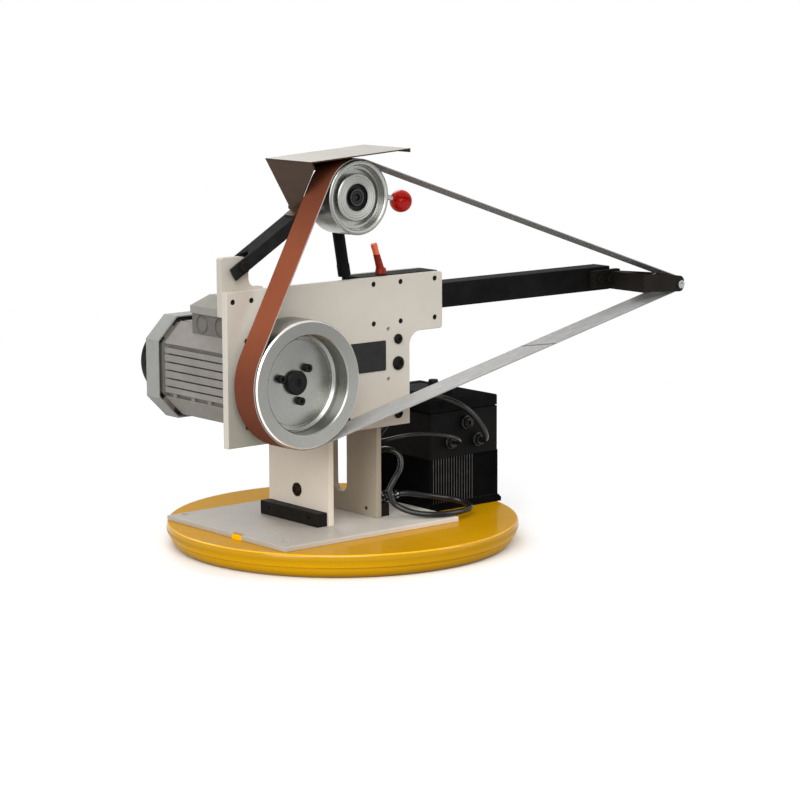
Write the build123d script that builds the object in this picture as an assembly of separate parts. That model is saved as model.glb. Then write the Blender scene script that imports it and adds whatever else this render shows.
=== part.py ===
from build123d import *
import math
import os

# Belt grinder for knives: millimetres, +Z up, +X along the tool arm, +Y towards the motor.
# The origin is the centre of the round base's underside.

# Round base and base plate
base_radius = 285.0
base_height = 39.0
base_edge_round = 4.0
base_side_low = 18.0
base_side_in = 4.0
base_side_bow = 2.0
base_step_in = 2.5
base_step_rise = 0.5
base_foot_in = 12.5
base_foot_bow = 4.0
base_plate_length = 350.0
base_plate_width = 316.0
base_plate_thickness = 8.0
base_plate_x = -57.0
base_plate_y = 6.0
base_bolt_inset_x = 27.0
base_bolt_inset_front = 36.0
base_bolt_inset_back = 14.0
base_bolt_radius = 5.5
base_notch_width = 26.0
base_notch_depth = 10.0
base_notch_y = -26.0
base_lug_drop = 1.0

# Main plate, with the drive axis as its reference
axis_x = -187.0
axis_above_base_plate = 246.5
plate_front = -89.0
plate_thickness = 12.0
plate_left = 103.0
plate_right_low = 256.0
plate_right_high = 324.5
plate_above_axis = 143.5
plate_below_axis = 96.5
plate_nose_height = 91.5
plate_nose_fillet = 22.0
plate_corner = 5.0
shaft_hole_radius = 30.0
spare_hole_radius = 3.0
spare_hole_above_nose = 8.0
spare_hole_below_axis = 20.0
nameplate_width = 72.0
nameplate_height = 48.0
nameplate_thickness = 1.2
nameplate_corner = 2.0
nameplate_dz = 18.5
edge_break = 0.8

# Uprights, foot bars and plate angles
upright_thickness = 10.0
upright_depth = 158.0
upright_left_x = -88.0
upright_spacing = 97.0
upright_below_receiver = 5.0
window_front = 77.0
window_depth = 35.0
window_sill = 31.0
window_height = 150.0
window_corner = 14.0
foot_bar_width = 20.0
foot_bar_height = 22.0
foot_bar_length = 151.0
foot_bar_inset = 4.5
foot_bar_break = 1.0
foot_screw_inset = 22.5
foot_screw_height = 13.0
foot_screw_radius = 3.2
foot_screw_head = 5.5
foot_screw_head_height = 6.0
cross_bolt_depth = 82.0
cross_bolt_height = 48.0
angle_leg = 48.0
angle_wall = 6.0
angle_bolt_offset = 25.5
angle_leg_left = 27.0
angle_bolt_offset_left = 15.6
angle_bolt_heights = (-77.5, -38.0, 3.5, 42.5)

# Wheels and abrasive belt
belt_width = 50.0
belt_thickness = 1.3
belt_running_gap = 0.3
belt_offset = 39.5
wheel_width = 57.0
wheel_crown = 0.5
wheel_chamfer = 2.0
drive_radius = 99.0
drive_rim = 23.0
drive_rim_back = 17.0
drive_web_depth = 35.0
drive_web = 14.0
drive_web_corner = 4.0
drive_groove_radius = 66.0
drive_groove = 3.0
drive_groove_depth = 2.0
hub_spigot_radius = 18.0
hub_flange_radius = 42.0
hub_flange = 8.0
hub_neck_wall = 6.0
hub_plate_gap = 4.0
hub_cap_radius = 19.0
hub_cap_height = 8.0
hub_cap_break = 2.0
hub_cap_dimple = 6.5
hub_cap_dimple_depth = 3.0
hub_screw_circle = 30.0
hub_screw_turn = 44.0
hub_screw_count = 3
hub_screw_radius = 4.0
hub_screw_head = 6.5
hub_screw_head_height = 8.0
upper_radius = 57.5
upper_chamfer = 1.5
upper_rim = 7.5
upper_step = 6.0
upper_step_depth = 4.0
upper_ring_radius = 37.0
upper_ring_depth = 6.0
upper_ring_height = 12.0
upper_hub_depth = 10.0
upper_back_recess = 14.0
upper_back_step = 3.0
bearing_wall = 3.0
tip_radius = 12.5
tip_wheel_width = 54.0
tip_break = 0.8

# Fits
running_fit = 0.06
seat_fit = 0.02
slide_fit = 0.5
face_gap = 0.3
sink_play = 0.3

# Tension arm
pivot_dx = -67.3
pivot_dz = 179.5
pivot_radius = 5.0
pivot_head_radius = 9.0
pivot_head_height = 5.0
pivot_collar = 3.0
ear_thickness = 12.0
ear_crown = 15.0
ear_crown_round = 14.0
ear_corner = 4.0
ear_foot_width = 78.0
ear_foot_depth = 39.0
ear_shoulder = 3.0
ear_shoulder_round = 2.5
ear_neck_fillet = 14.0
ear_screw_drop = 15.6
ear_screw_places = (12.0, 47.0)
arm_angle = 30.6
arm_reach = 195.7
arm_tail = 22.0
arm_width = 30.0
arm_height = 20.0
arm_wall = 4.0
arm_top_wall = 3.0
arm_notch = 18.0
arm_end_block = 8.0
arm_end_play = 2.0
strut_pin_beyond = 20.0
strut_pin_drop = 2.0
handle_rod_radius = 4.0
handle_rod_sink = 6.4
handle_drop = 36.0
handle_run = 125.0
knob_radius = 18.0

# Sheet guard over the upper wheel, in the tension arm's own directions
guard_thickness = 2.0
guard_along = 140.0
guard_height = 101.0
guard_overhang = 8.0
guard_back = 20.0
guard_front_low = 90.0
guard_waist_height = 36.5
guard_waist = 5.0
guard_stem_front = 26.0
guard_tab = 20.0
guard_tab_inset = 3.0
roof_length = 194.0
roof_rise = 3.5
roof_lip = 5.0
rib_length = 88.0
rib_depth = 22.0
rib_wheel_gap = 5.0

# Tracking block, axle and knob
block_width = 18.0
block_height = 15.5
block_tail = 44.0
block_nose = 6.0
block_top_play = 0.5
axle_radius = 10.0
bearing_radius = 21.0
bearing_width = 12.0
bearing_set_back = 8.0
bearing_inner_race = 3.5
bearing_outer_race = 3.0
bearing_seal_depth = 1.0
axle_shoulder = 13.0
axle_head = 4.0
axle_hole = 9.5
axle_neck = 6.0
axle_neck_depth = 4.0
axle_arm_gap = 1.5
axle_socket_radius = 5.0
axle_socket_depth = 3.0
tracking_pin_radius = 4.0
tracking_pin_lap = 3.0
tracking_pin_head = 4.0
tracking_screw_back = 34.0
tracking_screw_radius = 4.0
tracking_boss = 4.0
tracking_knob_radius = 14.0
tracking_knob_length = 16.0
tracking_knob_gap = 3.0
tracking_knob_flutes = 10
tracking_flute_radius = 2.4
tracking_flute_circle = 15.1
tracking_swing = 1.5

# Gas strut
strut_offset = 6.2
strut_foot_dx = 153.0
strut_foot_dz = 91.5
strut_radius = 9.5
strut_cap = 17.0
strut_body_length = 124.0
strut_wall = 2.5
strut_end_wall = 5.0
strut_collar = 0.6
strut_collar_length = 18.0
strut_rod_radius = 4.0
strut_eye_radius = 8.0
strut_eye_width = 9.0
strut_lug_half = 5.6
strut_pin_radius = 4.0
strut_foot_play = 0.6
strut_stroke = 44.0
strut_piston_clearance = 0.4
strut_piston_length = 10.0
strut_piston_spare = 20.0
stud_collar = 3.0
stud_head = 4.0

# Tool arm, receiver and clamp
tool_bar = 40.0
tool_bar_corner = 2.0
tool_bar_length = 505.0
tool_bar_inside = 120.0
tool_bar_axis_dz = 102.0
receiver_wall = 22.0
receiver_back_wall = 8.0
receiver_length = 158.0
receiver_screw_places = (16.0, 71.0, 142.0)
clamp_along = 57.0
clamp_screw_radius = 5.0
clamp_hub_radius = 9.5
clamp_hub_height = 9.0
clamp_hub_taper = 1.5
clamp_lever_length = 38.0
clamp_lever_lean = 18.0
clamp_lever_root = 6.6
clamp_lever_tip = 4.9
clamp_cap_radius = 5.4
clamp_cap_length = 9.0

# Small-wheel fork
fork_bar_thickness = 10.0
fork_bar_height = 30.0
fork_bar_lap = 46.0
fork_bridge = 20.0
fork_bridge_lap = 5.0
fork_bridge_rise = 3.0
fork_cheek = 8.0
fork_cheek_gap = 2.0
fork_cheek_height = 26.5
fork_cheek_round = 10.6
fork_reach = 80.5
fork_drop = 9.8
fork_nose = 9.8
fork_screw_insets = (33.0, 11.0)
fork_screw_radius = 3.5
fork_screw_head = 6.0
fork_screw_depth = 13.0
tip_axle_radius = 4.0
tip_axle_head = 7.0
tip_axle_head_height = 4.0
tip_bearing_radius = 9.5
tip_bearing_width = 6.0
tip_bore_play = 1.0

# Motor
motor_half = 75.0
motor_core_half = 66.0
motor_chamfer = 32.0
motor_bore = 62.0
motor_length = 195.0
motor_flange = 164.0
motor_flange_thickness = 12.0
motor_flange_corner = 14.0
motor_bolt_square = 132.0
fin_count = 8
fin_pitch = 13.0
fin_gap = 2.6
fin_edge_gap = 6.4
fin_end = 12.0
fin_lug_places = (68.0, 112.0, 161.0)
fin_lug_length = 9.0
fin_lug_depth = 6.0
shaft_radius = 12.0
shaft_clearance = 1.0
shaft_end = 18.0
shaft_web_gap = 0.5
motor_bearing_radius = 26.0
motor_bearing_width = 15.0
motor_bearing_lip = 3.0
motor_bearing_boss = 8.0
motor_bearing_gap = 0.5
stator_length = 100.0
stator_start = 40.0
stator_inner = 40.0
stator_fit = 0.05
winding_length = 18.0
winding_inset = 4.5
air_gap = 0.5
rear_shield = 8.0
rear_shield_half = 71.0
rear_shield_tab = 24.0
fan_radius = 56.0
fan_blades = 8
fan_blade = 2.5
fan_blade_length = 14.0
fan_gap = 3.0
fan_hub_radius = 18.0
fan_hub_length = 15.0
cowl_half = 82.0
cowl_chamfer = 36.0
cowl_length = 34.0
cowl_wall = 2.0
cowl_lap = 12.0
grille_radius = 60.0
grille_depth = 62.0
grille_wall = 2.5
grille_round = 20.0
grille_lap = 4.0
grille_slots = 16
grille_slot_width = 5.0
grille_side_slot = 30.0
grille_face_slot = 24.0
grille_hub_radius = 15.0
box_half_width = 56.0
box_length = 104.0
box_start = 29.0
box_height = 38.0
box_sink = 19.0
box_wall = 3.0
saddle_wall = 3.5
box_gland_height = 22.5
box_lid_rim = 12.0
box_lid_height = 29.0
box_lid_overhang = 2.5
box_lid_taper = 22.0
knockout_radius = 16.4
knockout_disc = 11.0
knockout_depth = 2.2
knockout_spacing = 49.6
knockout_height = 21.0

# Inverter
inverter_x = 127.0
inverter_front = -70.0
inverter_width = 147.0
inverter_depth = 174.0
inverter_base_height = 88.0
inverter_case_height = 74.0
inverter_lid_height = 17.0
inverter_corner = 3.0
inverter_seam = 2.0
inverter_seam_inset = 3.0
inverter_top_break = 1.5
inverter_flange = 8.0
inverter_flange_height = 12.0
inverter_flange_break = 5.6
slot_count = 16
slot_pitch = 5.6
slot_inset = 5.0
slot_width = 2.6
slot_depth = 9.0
slot_height = 74.0
panel_inset = 3.0
panel_depth = 2.0
gland_radius = 11.0
gland_length = 15.0
gland_nose = 6.0
gland_nose_taper = 1.5
gland_neck_radius = 7.7
gland_neck = 9.0
gland_places = ((39.0, 114.0), (98.0, 112.0), (73.0, 143.0))
keypad_width = 84.0
keypad_depth = 84.0
keypad_height = 14.0
keypad_break = 2.0
keypad_inset_x = 6.0
keypad_inset_front = 48.0
display_inset = 10.0
display_start = 44.0
display_length = 28.0
display_depth = 1.5
speed_knob_radius = 9.0
speed_knob_taper = 1.5
speed_knob_skirt = 4.0
speed_knob_height = 10.0
speed_knob_inset_x = 22.0
speed_knob_inset_y = 24.0
speed_mark_width = 1.6
speed_mark_depth = 0.6

# Fasteners
screw_head_radius = 4.0
screw_head_height = 5.0
screw_sink = 0.4
screw_radius = 2.5
screw_hole_depth = 14.0
screw_tip_gap = 1.0
bolt_head_radius = 8.0
bolt_head_height = 5.5
large_head_radius = 11.0
bolt_radius = 5.0
nut_radius = 9.0
nut_height = 7.0
socket_share = 0.52
button_share = 0.6

# Leads
motor_lead_diameter = 6.5
supply_lead_diameter = 9.5
lead_fit = 0.2
lead_entry = 5.0
lead_arc_share = 0.45
connector_radius = 9.0
connector_length = 42.0
connector_break = 1.5
connector_groove = 1.5
connector_steps = (12.6, 16.8, 28.6, 30.2, 39.9)
connector_bore_depth = 8.0
connector_side_gap = 1.5
connector_back = 13.0

# Places that follow from the sizes above
base_top = base_height + base_plate_thickness
axis_z = base_top + axis_above_base_plate
plate_back = plate_front + plate_thickness
plate_top = axis_z + plate_above_axis
plate_bottom = axis_z - plate_below_axis
plate_nose = plate_top - plate_nose_height
screw_seat = plate_front + screw_head_height + screw_sink
belt_y = plate_front - belt_offset
wheel_front = belt_y - wheel_width / 2
wheel_back = belt_y + wheel_width / 2
drive_web_front = wheel_front + drive_web_depth
drive_web_back = drive_web_front + drive_web
pivot_x = axis_x + pivot_dx
pivot_z = axis_z + pivot_dz
arm_y = plate_back + ear_thickness / 2
arm_front = arm_y - arm_width / 2
arm_back = arm_y + arm_width / 2
arm_cos = math.cos(math.radians(arm_angle))
arm_sin = math.sin(math.radians(arm_angle))
upper_x = pivot_x + arm_reach * arm_cos
upper_z = pivot_z + arm_reach * arm_sin
arm_end = arm_reach + strut_pin_beyond + strut_eye_radius + arm_end_play + arm_end_block
receiver_x = axis_x + plate_right_high - receiver_length
tool_bar_z = axis_z + tool_bar_axis_dz
tool_bar_front = plate_back + slide_fit
tool_bar_back = tool_bar_front + tool_bar
tool_bar_start = axis_x + plate_right_high - tool_bar_inside
tool_bar_end = tool_bar_start + tool_bar_length
receiver_inner = tool_bar / 2 + slide_fit
fork_front = belt_y - tip_wheel_width / 2 - fork_cheek_gap - fork_cheek
fork_back = belt_y + tip_wheel_width / 2 + fork_cheek_gap + fork_cheek
tip_x = tool_bar_end + fork_reach
tip_z = tool_bar_z - fork_drop
motor_start = plate_back + motor_flange_thickness
motor_end = motor_start + motor_length
cowl_front = motor_end + rear_shield - cowl_lap
cowl_back = cowl_front + cowl_length
box_front = motor_start + box_start
box_low = axis_z + motor_half - box_sink
box_top = box_low + box_height
upright_right_x = upright_left_x + upright_spacing
upright_top = tool_bar_z - receiver_inner - receiver_wall - upright_below_receiver
inverter_right = inverter_x + inverter_width
inverter_back = inverter_front + inverter_depth
inverter_case_low = base_height + inverter_base_height
inverter_case_top = inverter_case_low + inverter_case_height
inverter_top = inverter_case_top + inverter_seam + inverter_lid_height


def block(x0, x1, y0, y1, z0, z1):
    """A box between two corners."""
    centre = Pos((x0 + x1) / 2, (y0 + y1) / 2, (z0 + z1) / 2)
    return centre * Box(x1 - x0, y1 - y0, z1 - z0)


def rod_x(y, z, radius, x0, x1):
    """A round bar along X."""
    return Pos((x0 + x1) / 2, y, z) * Rot(0, 90, 0) * Cylinder(radius, x1 - x0)


def rod_y(x, z, radius, y0, y1):
    """A round bar along Y."""
    return Pos(x, (y0 + y1) / 2, z) * Rot(90, 0, 0) * Cylinder(radius, y1 - y0)


def rod_z(x, y, radius, z0, z1):
    """A round bar along Z."""
    return Pos(x, y, (z0 + z1) / 2) * Cylinder(radius, z1 - z0)


def slab_y(sketch, y0, y1):
    """A flat piece: an outline given in X and Z, between two planes across Y."""
    return Pos(0, y1, 0) * extrude(Plane.XZ * sketch, y1 - y0)


def turned(points, x, z):
    """A turned piece about a Y axis: its half section as radius and Y."""
    section = make_face(Polyline(*points, close=True))
    return Pos(x, 0, z) * revolve(section, Axis.Y)


def ring_y(x, z, inner, outer, y0, y1):
    """A plain ring about a Y axis."""
    return rod_y(x, z, outer, y0, y1) - rod_y(x, z, inner, y0, y1)


def broken_block(x0, x1, y0, y1, z0, z1):
    """A box between two corners with all its edges broken."""
    return chamfer(block(x0, x1, y0, y1, z0, z1).edges(), edge_break)


def hex_socket(x, z, front, head, height):
    """The hexagon recess of a screw head whose end lies on the plane front."""
    outline = Pos(x, z) * RegularPolygon(head * socket_share, 6)
    return slab_y(outline, front, front + height * socket_share)


def socket_screw_y(x, z, head_face, head, height, shank, length):
    """A socket head screw pointing along +Y, with its head seated on the plane head_face."""
    front = head_face - height
    body = rod_y(x, z, head, front, head_face)
    body += rod_y(x, z, shank, head_face, head_face + length)
    return body - hex_socket(x, z, front, head, height)


def button_screw_y(x, z, head_face, head, height, shank, length):
    """A low domed screw pointing along +Y, with its head seated on the plane head_face."""
    front = head_face - height
    tip = head_face + length
    body = turned([
        (0, front), (head * button_share, front), (head, front + height * button_share),
        (head, head_face), (shank, head_face), (shank, tip), (0, tip),
    ], x, z)
    return body - hex_socket(x, z, front, head, height)


def along_x(piece, x, y, z):
    """A piece made at the origin along +Y, turned to point along +X and set at a place."""
    return Pos(x, y, z) * Rot(0, 0, -90) * piece


def nut_y(x, z, face, radius, height, bore):
    """A hexagon nut behind the plane face, on a Y axis."""
    outline = RegularPolygon(radius, 6) - Circle(bore)
    return slab_y(Pos(x, z) * outline, face, face + height)


def chamfered_square(half, chamfer_size):
    """A square outline with its corners cut off."""
    flat = half - chamfer_size
    points = []
    for sx, sz in ((1, 1), (-1, 1), (-1, -1), (1, -1)):
        pair = [(sx * half, sz * flat), (sx * flat, sz * half)]
        points += pair if sx * sz > 0 else pair[::-1]
    return make_face(Polyline(*points, close=True))


# Directions of the tension arm: its own X runs up along the arm, its own Z stands square on it.
arm_frame = Pos(pivot_x, 0, pivot_z) * Rot(0, -arm_angle, 0)


def on_arm(along, above):
    """A place on the tension arm as X and Z."""
    x = pivot_x + along * arm_cos - above * arm_sin
    z = pivot_z + along * arm_sin + above * arm_cos
    return x, z


strut_pin_x, strut_pin_z = on_arm(arm_reach + strut_pin_beyond, -strut_pin_drop)
strut_y = arm_y + strut_offset
strut_foot_x = axis_x + strut_foot_dx
strut_foot_z = axis_z + strut_foot_dz
strut_length = math.hypot(strut_foot_x - strut_pin_x, strut_foot_z - strut_pin_z)
strut_lean = math.degrees(math.atan2(strut_foot_x - strut_pin_x, strut_pin_z - strut_foot_z))
# The strut's own frame: its pin at the origin, its own -Z along the strut to its foot.
strut_frame = Pos(strut_pin_x, strut_y, strut_pin_z) * Rot(0, -strut_lean, 0)


def belt_loop(offset):
    """The closed outline of the belt in X and Z, at an offset from the three wheels' running faces."""
    wheels = [
        (axis_x, axis_z, drive_radius + wheel_crown + offset),
        (tip_x, tip_z, tip_radius + offset),
        (upper_x, upper_z, upper_radius + wheel_crown + offset),
    ]
    runs = []
    for (x0, z0, r0), (x1, z1, r1) in zip(wheels, wheels[1:] + wheels[:1]):
        lean = math.asin((r0 - r1) / math.hypot(x1 - x0, z1 - z0))
        heading = math.atan2(z1 - z0, x1 - x0) + lean
        out_x, out_z = math.sin(heading), -math.cos(heading)
        start = (x0 + r0 * out_x, z0 + r0 * out_z)
        end = (x1 + r1 * out_x, z1 + r1 * out_z)
        runs.append((start, end, heading))
    edges = []
    for i, (start, end, heading) in enumerate(runs):
        previous = runs[i - 1]
        x, z, radius = wheels[i]
        turn = (heading - previous[2]) % (2 * math.pi)
        middle = previous[2] + turn / 2
        crest = (x + radius * math.sin(middle), z - radius * math.cos(middle))
        edges.append(ThreePointArc(previous[1], crest, start))
        edges.append(Line(start, end))
    return make_face(edges)


# Round base and base plate
def rim_outline():
    """Half the disc's section: a rounded top edge, a bowed side, a small step and a bowed foot."""
    diagonal = base_edge_round * (1 - math.sqrt(0.5))
    shoulder = base_height - base_edge_round
    flat = base_radius - base_edge_round
    side_low = base_radius - base_side_in
    foot_top = side_low - base_step_in
    foot_low = foot_top - base_foot_in
    foot_height = base_side_low - base_step_rise
    edge_middle = (base_radius - diagonal, base_height - diagonal)
    side_middle = ((base_radius + side_low) / 2 + base_side_bow, (shoulder + base_side_low) / 2)
    foot_middle = ((foot_top + foot_low) / 2 + base_foot_bow, foot_height / 2)
    return [
        Line((0, 0), (foot_low, 0)),
        ThreePointArc((foot_low, 0), foot_middle, (foot_top, foot_height)),
        Line((foot_top, foot_height), (side_low, base_side_low)),
        ThreePointArc((side_low, base_side_low), side_middle, (base_radius, shoulder)),
        ThreePointArc((base_radius, shoulder), edge_middle, (flat, base_height)),
        Line((flat, base_height), (0, base_height)),
        Line((0, base_height), (0, 0)),
    ]


def round_base():
    """The disc, with a lug that fills the base plate's edge notch."""
    disc = revolve(Plane.XZ * make_face(rim_outline()), Axis.Z)
    for x, y in base_bolt_spots():
        disc -= rod_z(x, y, base_bolt_radius, 0, base_height)
    left = base_plate_x - base_plate_length / 2
    half = base_notch_width / 2 - face_gap
    lug_end = left + base_notch_depth - face_gap
    top = base_top - base_lug_drop
    return disc + block(left, lug_end, base_notch_y - half, base_notch_y + half, base_height, top)


def base_bolt_spots():
    x0 = base_plate_x - base_plate_length / 2 + base_bolt_inset_x
    x1 = base_plate_x + base_plate_length / 2 - base_bolt_inset_x
    y0 = base_plate_y - base_plate_width / 2 + base_bolt_inset_front
    y1 = base_plate_y + base_plate_width / 2 - base_bolt_inset_back
    return [(x, y) for x in (x0, x1) for y in (y0, y1)]


def base_plate():
    x0 = base_plate_x - base_plate_length / 2
    x1 = base_plate_x + base_plate_length / 2
    y0 = base_plate_y - base_plate_width / 2
    y1 = base_plate_y + base_plate_width / 2
    plate = broken_block(x0, x1, y0, y1, base_height, base_top)
    for x, y in base_bolt_spots():
        plate -= rod_z(x, y, base_bolt_radius, base_height, base_top)
    half = base_notch_width / 2
    inner = x0 + base_notch_depth
    return plate - block(x0, inner, base_notch_y - half, base_notch_y + half, base_height, base_top)


# Uprights, foot bars and plate angles
def upright(x, has_window):
    y0 = plate_back
    x1 = x + upright_thickness
    plate = broken_block(x, x1, y0, y0 + upright_depth, base_top, upright_top)
    if has_window:
        outline = RectangleRounded(window_depth, window_height, window_corner)
        middle_y = y0 + window_front + window_depth / 2
        middle_z = base_top + window_sill + window_height / 2
        hole = extrude(Plane.YZ * outline, upright_thickness * 2, both=True)
        plate -= Pos(x, middle_y, middle_z) * hole
    else:
        bolt_z = base_top + cross_bolt_height
        plate -= rod_x(y0 + cross_bolt_depth, bolt_z, bolt_radius + seat_fit, x, x1)
    for y, z in foot_screw_spots():
        plate -= rod_x(y, z, foot_screw_radius + seat_fit, x, x1)
    return plate


def foot_screw_spots():
    """The Y and Z of the two screws through each foot bar."""
    front = plate_back + foot_bar_inset
    back = front + foot_bar_length
    z = base_top + foot_screw_height
    return [(front + foot_screw_inset, z), (back - foot_screw_inset, z)]


def foot_bars():
    """A bar beside each upright's outer face, with sunk seats for its screws."""
    y0 = plate_back + foot_bar_inset
    seat = foot_screw_head_height + screw_sink
    bars = []
    for inner, side in ((upright_left_x, -1), (upright_right_x + upright_thickness, 1)):
        outer = inner + side * foot_bar_width
        x0, x1 = sorted((inner, outer))
        bar = block(x0, x1, y0, y0 + foot_bar_length, base_top, base_top + foot_bar_height)
        bar = chamfer(bar.edges(), foot_bar_break)
        s0, s1 = sorted((outer, outer - side * seat))
        for y, z in foot_screw_spots():
            bar -= rod_x(y, z, foot_screw_radius + seat_fit, x0, x1)
            bar -= rod_x(y, z, foot_screw_head + sink_play, s0, s1)
        bars.append(bar)
    return bars


def angle_bolts():
    """The X, Z and head radius of each angle's bolts: the left angle's top place stays free."""
    left = upright_left_x + upright_thickness + angle_bolt_offset_left
    right = upright_right_x + upright_thickness + angle_bolt_offset
    low, middle, high, top = angle_bolt_heights
    bolts = [(left, axis_z + height, bolt_head_radius) for height in (low, middle, high)]
    bolts.append((right, axis_z + low, bolt_head_radius))
    bolts.append((right, axis_z + high, large_head_radius))
    bolts.append((right, axis_z + top, bolt_head_radius))
    return bolts


def plate_angles():
    angles = []
    y0 = plate_back
    low = plate_bottom + face_gap
    for x, leg in ((upright_left_x, angle_leg_left), (upright_right_x, angle_leg)):
        x += upright_thickness
        angle = block(x, x + leg, y0, y0 + angle_wall, low, upright_top)
        angle += block(x, x + angle_wall, y0, y0 + angle_leg, low, upright_top)
        for bolt_x, bolt_z, head in angle_bolts():
            if x < bolt_x < x + leg:
                angle -= rod_y(bolt_x, bolt_z, bolt_radius + seat_fit, y0, y0 + angle_wall)
        angles.append(angle)
    return angles


# Main plate and what is screwed to it
def receiver_screw_spots():
    high = tool_bar_z + receiver_inner + receiver_wall / 2
    low = tool_bar_z - receiver_inner - receiver_wall / 2
    return [(receiver_x + along, z) for z in (high, low) for along in receiver_screw_places]


def ear_screw_spots():
    left = axis_x - plate_left
    return [(left + place, plate_top - ear_screw_drop) for place in ear_screw_places]


def motor_bolt_spots():
    half = motor_bolt_square / 2
    return [(axis_x + sx * half, axis_z + sz * half) for sx in (-1, 1) for sz in (-1, 1)]


def plate_screw_spots():
    return receiver_screw_spots() + ear_screw_spots() + motor_bolt_spots()


def main_plate():
    x0 = axis_x - plate_left
    x1 = axis_x + plate_right_low
    x2 = axis_x + plate_right_high
    nose = plate_nose
    corners = [
        (x0, plate_bottom), (x1, plate_bottom), (x1, nose), (x2, nose), (x2, plate_top), (x0, plate_top),
    ]
    face = make_face(Polyline(*corners, close=True))
    face = fillet(face.vertices().sort_by_distance((x1, nose))[0], plate_nose_fillet)
    outer = [face.vertices().sort_by_distance(corner)[0] for corner in ((x2, nose), (x2, plate_top))]
    plate = slab_y(fillet(outer, plate_corner), plate_front, plate_back)
    plate = chamfer(plate.faces().sort_by(Axis.Y)[0].edges(), edge_break)
    plate -= rod_y(axis_x, axis_z, shaft_hole_radius, plate_front, plate_back)
    for x, z in plate_screw_spots():
        plate -= rod_y(x, z, screw_radius + seat_fit, plate_front, plate_back)
        plate -= rod_y(x, z, screw_head_radius + sink_play, plate_front, screw_seat)
    for x, z, head in angle_bolts():
        plate -= rod_y(x, z, bolt_radius + seat_fit, plate_front, plate_back)
    spare_x = upright_right_x + upright_thickness + angle_wall
    for z in (nose + spare_hole_above_nose, axis_z - spare_hole_below_axis):
        plate -= rod_y(spare_x, z, spare_hole_radius, plate_front, plate_back)
    stud_depth = plate_back - plate_thickness / 2
    return plate - rod_y(strut_foot_x, strut_foot_z, strut_pin_radius, stud_depth, plate_back)


def nameplate():
    right = upright_right_x + upright_thickness
    middle = Pos(right - nameplate_width / 2, axis_z + nameplate_dz)
    outline = middle * RectangleRounded(nameplate_width, nameplate_height, nameplate_corner)
    return slab_y(outline, plate_front - nameplate_thickness, plate_front)


def ear_plate():
    x0 = axis_x - plate_left
    neck = pivot_x + ear_crown
    foot = x0 + ear_foot_width
    shoulder = plate_top + ear_shoulder
    top = pivot_z + ear_crown
    low = plate_top - ear_foot_depth
    corners = [(x0, low), (foot, low), (foot, shoulder), (neck, shoulder), (neck, top), (x0, top)]
    face = make_face(Polyline(*corners, close=True))
    rounds = [
        ((neck, shoulder), ear_neck_fillet), ((neck, top), ear_crown_round),
        ((x0, top), ear_corner), ((foot, shoulder), ear_shoulder_round),
    ]
    for corner, radius in rounds:
        face = fillet(face.vertices().sort_by_distance(corner)[0], radius)
    back = plate_back + ear_thickness
    plate = slab_y(face, plate_back, back)
    plate -= rod_y(pivot_x, pivot_z, pivot_radius + seat_fit, plate_back, back)
    for x, z in ear_screw_spots():
        plate -= rod_y(x, z, screw_radius + seat_fit, plate_back, back)
    return plate


def receiver_bar(z0, z1, clamp_hole):
    x1 = receiver_x + receiver_length
    bar = broken_block(receiver_x, x1, plate_back, tool_bar_back + slide_fit, z0, z1)
    for x, z in receiver_screw_spots():
        if z0 < z < z1:
            bar -= rod_y(x, z, screw_radius + seat_fit, plate_back, plate_back + screw_hole_depth)
    if clamp_hole:
        x, y = clamp_place()
        bar -= rod_z(x, y, clamp_screw_radius + running_fit, z0, z1)
    return bar


def receiver_parts():
    low = tool_bar_z - receiver_inner
    high = tool_bar_z + receiver_inner
    y0 = tool_bar_back + slide_fit
    y1 = y0 + receiver_back_wall
    x1 = receiver_x + receiver_length
    back = block(receiver_x, x1, y0, y1, low - receiver_wall, high + receiver_wall)
    top_bar = receiver_bar(high, high + receiver_wall, True)
    bottom_bar = receiver_bar(low - receiver_wall, low, False)
    return top_bar, bottom_bar, back


def frame_screws():
    """Sunk screws in the main plate, and the foot bars' screws with their heads outwards."""
    tip = plate_back + motor_flange_thickness - screw_tip_gap
    screws = []
    for x, z in plate_screw_spots():
        screws.append(socket_screw_y(x, z, screw_seat, screw_head_radius, screw_head_height,
                                     screw_radius, tip - screw_seat))
    sunk = foot_screw_head_height + screw_sink
    reach = foot_bar_width + upright_thickness - sunk
    screw = socket_screw_y(0, 0, 0, foot_screw_head, foot_screw_head_height, foot_screw_radius, reach)
    left = upright_left_x - foot_bar_width + sunk
    right = upright_right_x + upright_thickness + foot_bar_width - sunk
    for y, z in foot_screw_spots():
        screws.append(along_x(screw, left, y, z))
        screws.append(Pos(right, y, z) * Rot(0, 0, 90) * screw)
    return screws


def frame_bolts():
    bolts = []
    length = plate_thickness + angle_wall + nut_height
    for x, z, head in angle_bolts():
        bolts.append(button_screw_y(x, z, plate_front, head, bolt_head_height, bolt_radius, length))
        bolts.append(nut_y(x, z, plate_back + angle_wall, nut_radius, nut_height, bolt_radius))
    return bolts + cross_bolt() + pivot_bolt()


def cross_bolt():
    """A large bolt through the left upright, and its nut."""
    y = plate_back + cross_bolt_depth
    z = base_top + cross_bolt_height
    length = upright_thickness + nut_height
    bolt = button_screw_y(0, 0, 0, large_head_radius, bolt_head_height, bolt_radius, length)
    nut = nut_y(0, 0, 0, nut_radius, nut_height, bolt_radius)
    return [along_x(bolt, upright_left_x, y, z), along_x(nut, upright_left_x + upright_thickness, y, z)]


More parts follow.
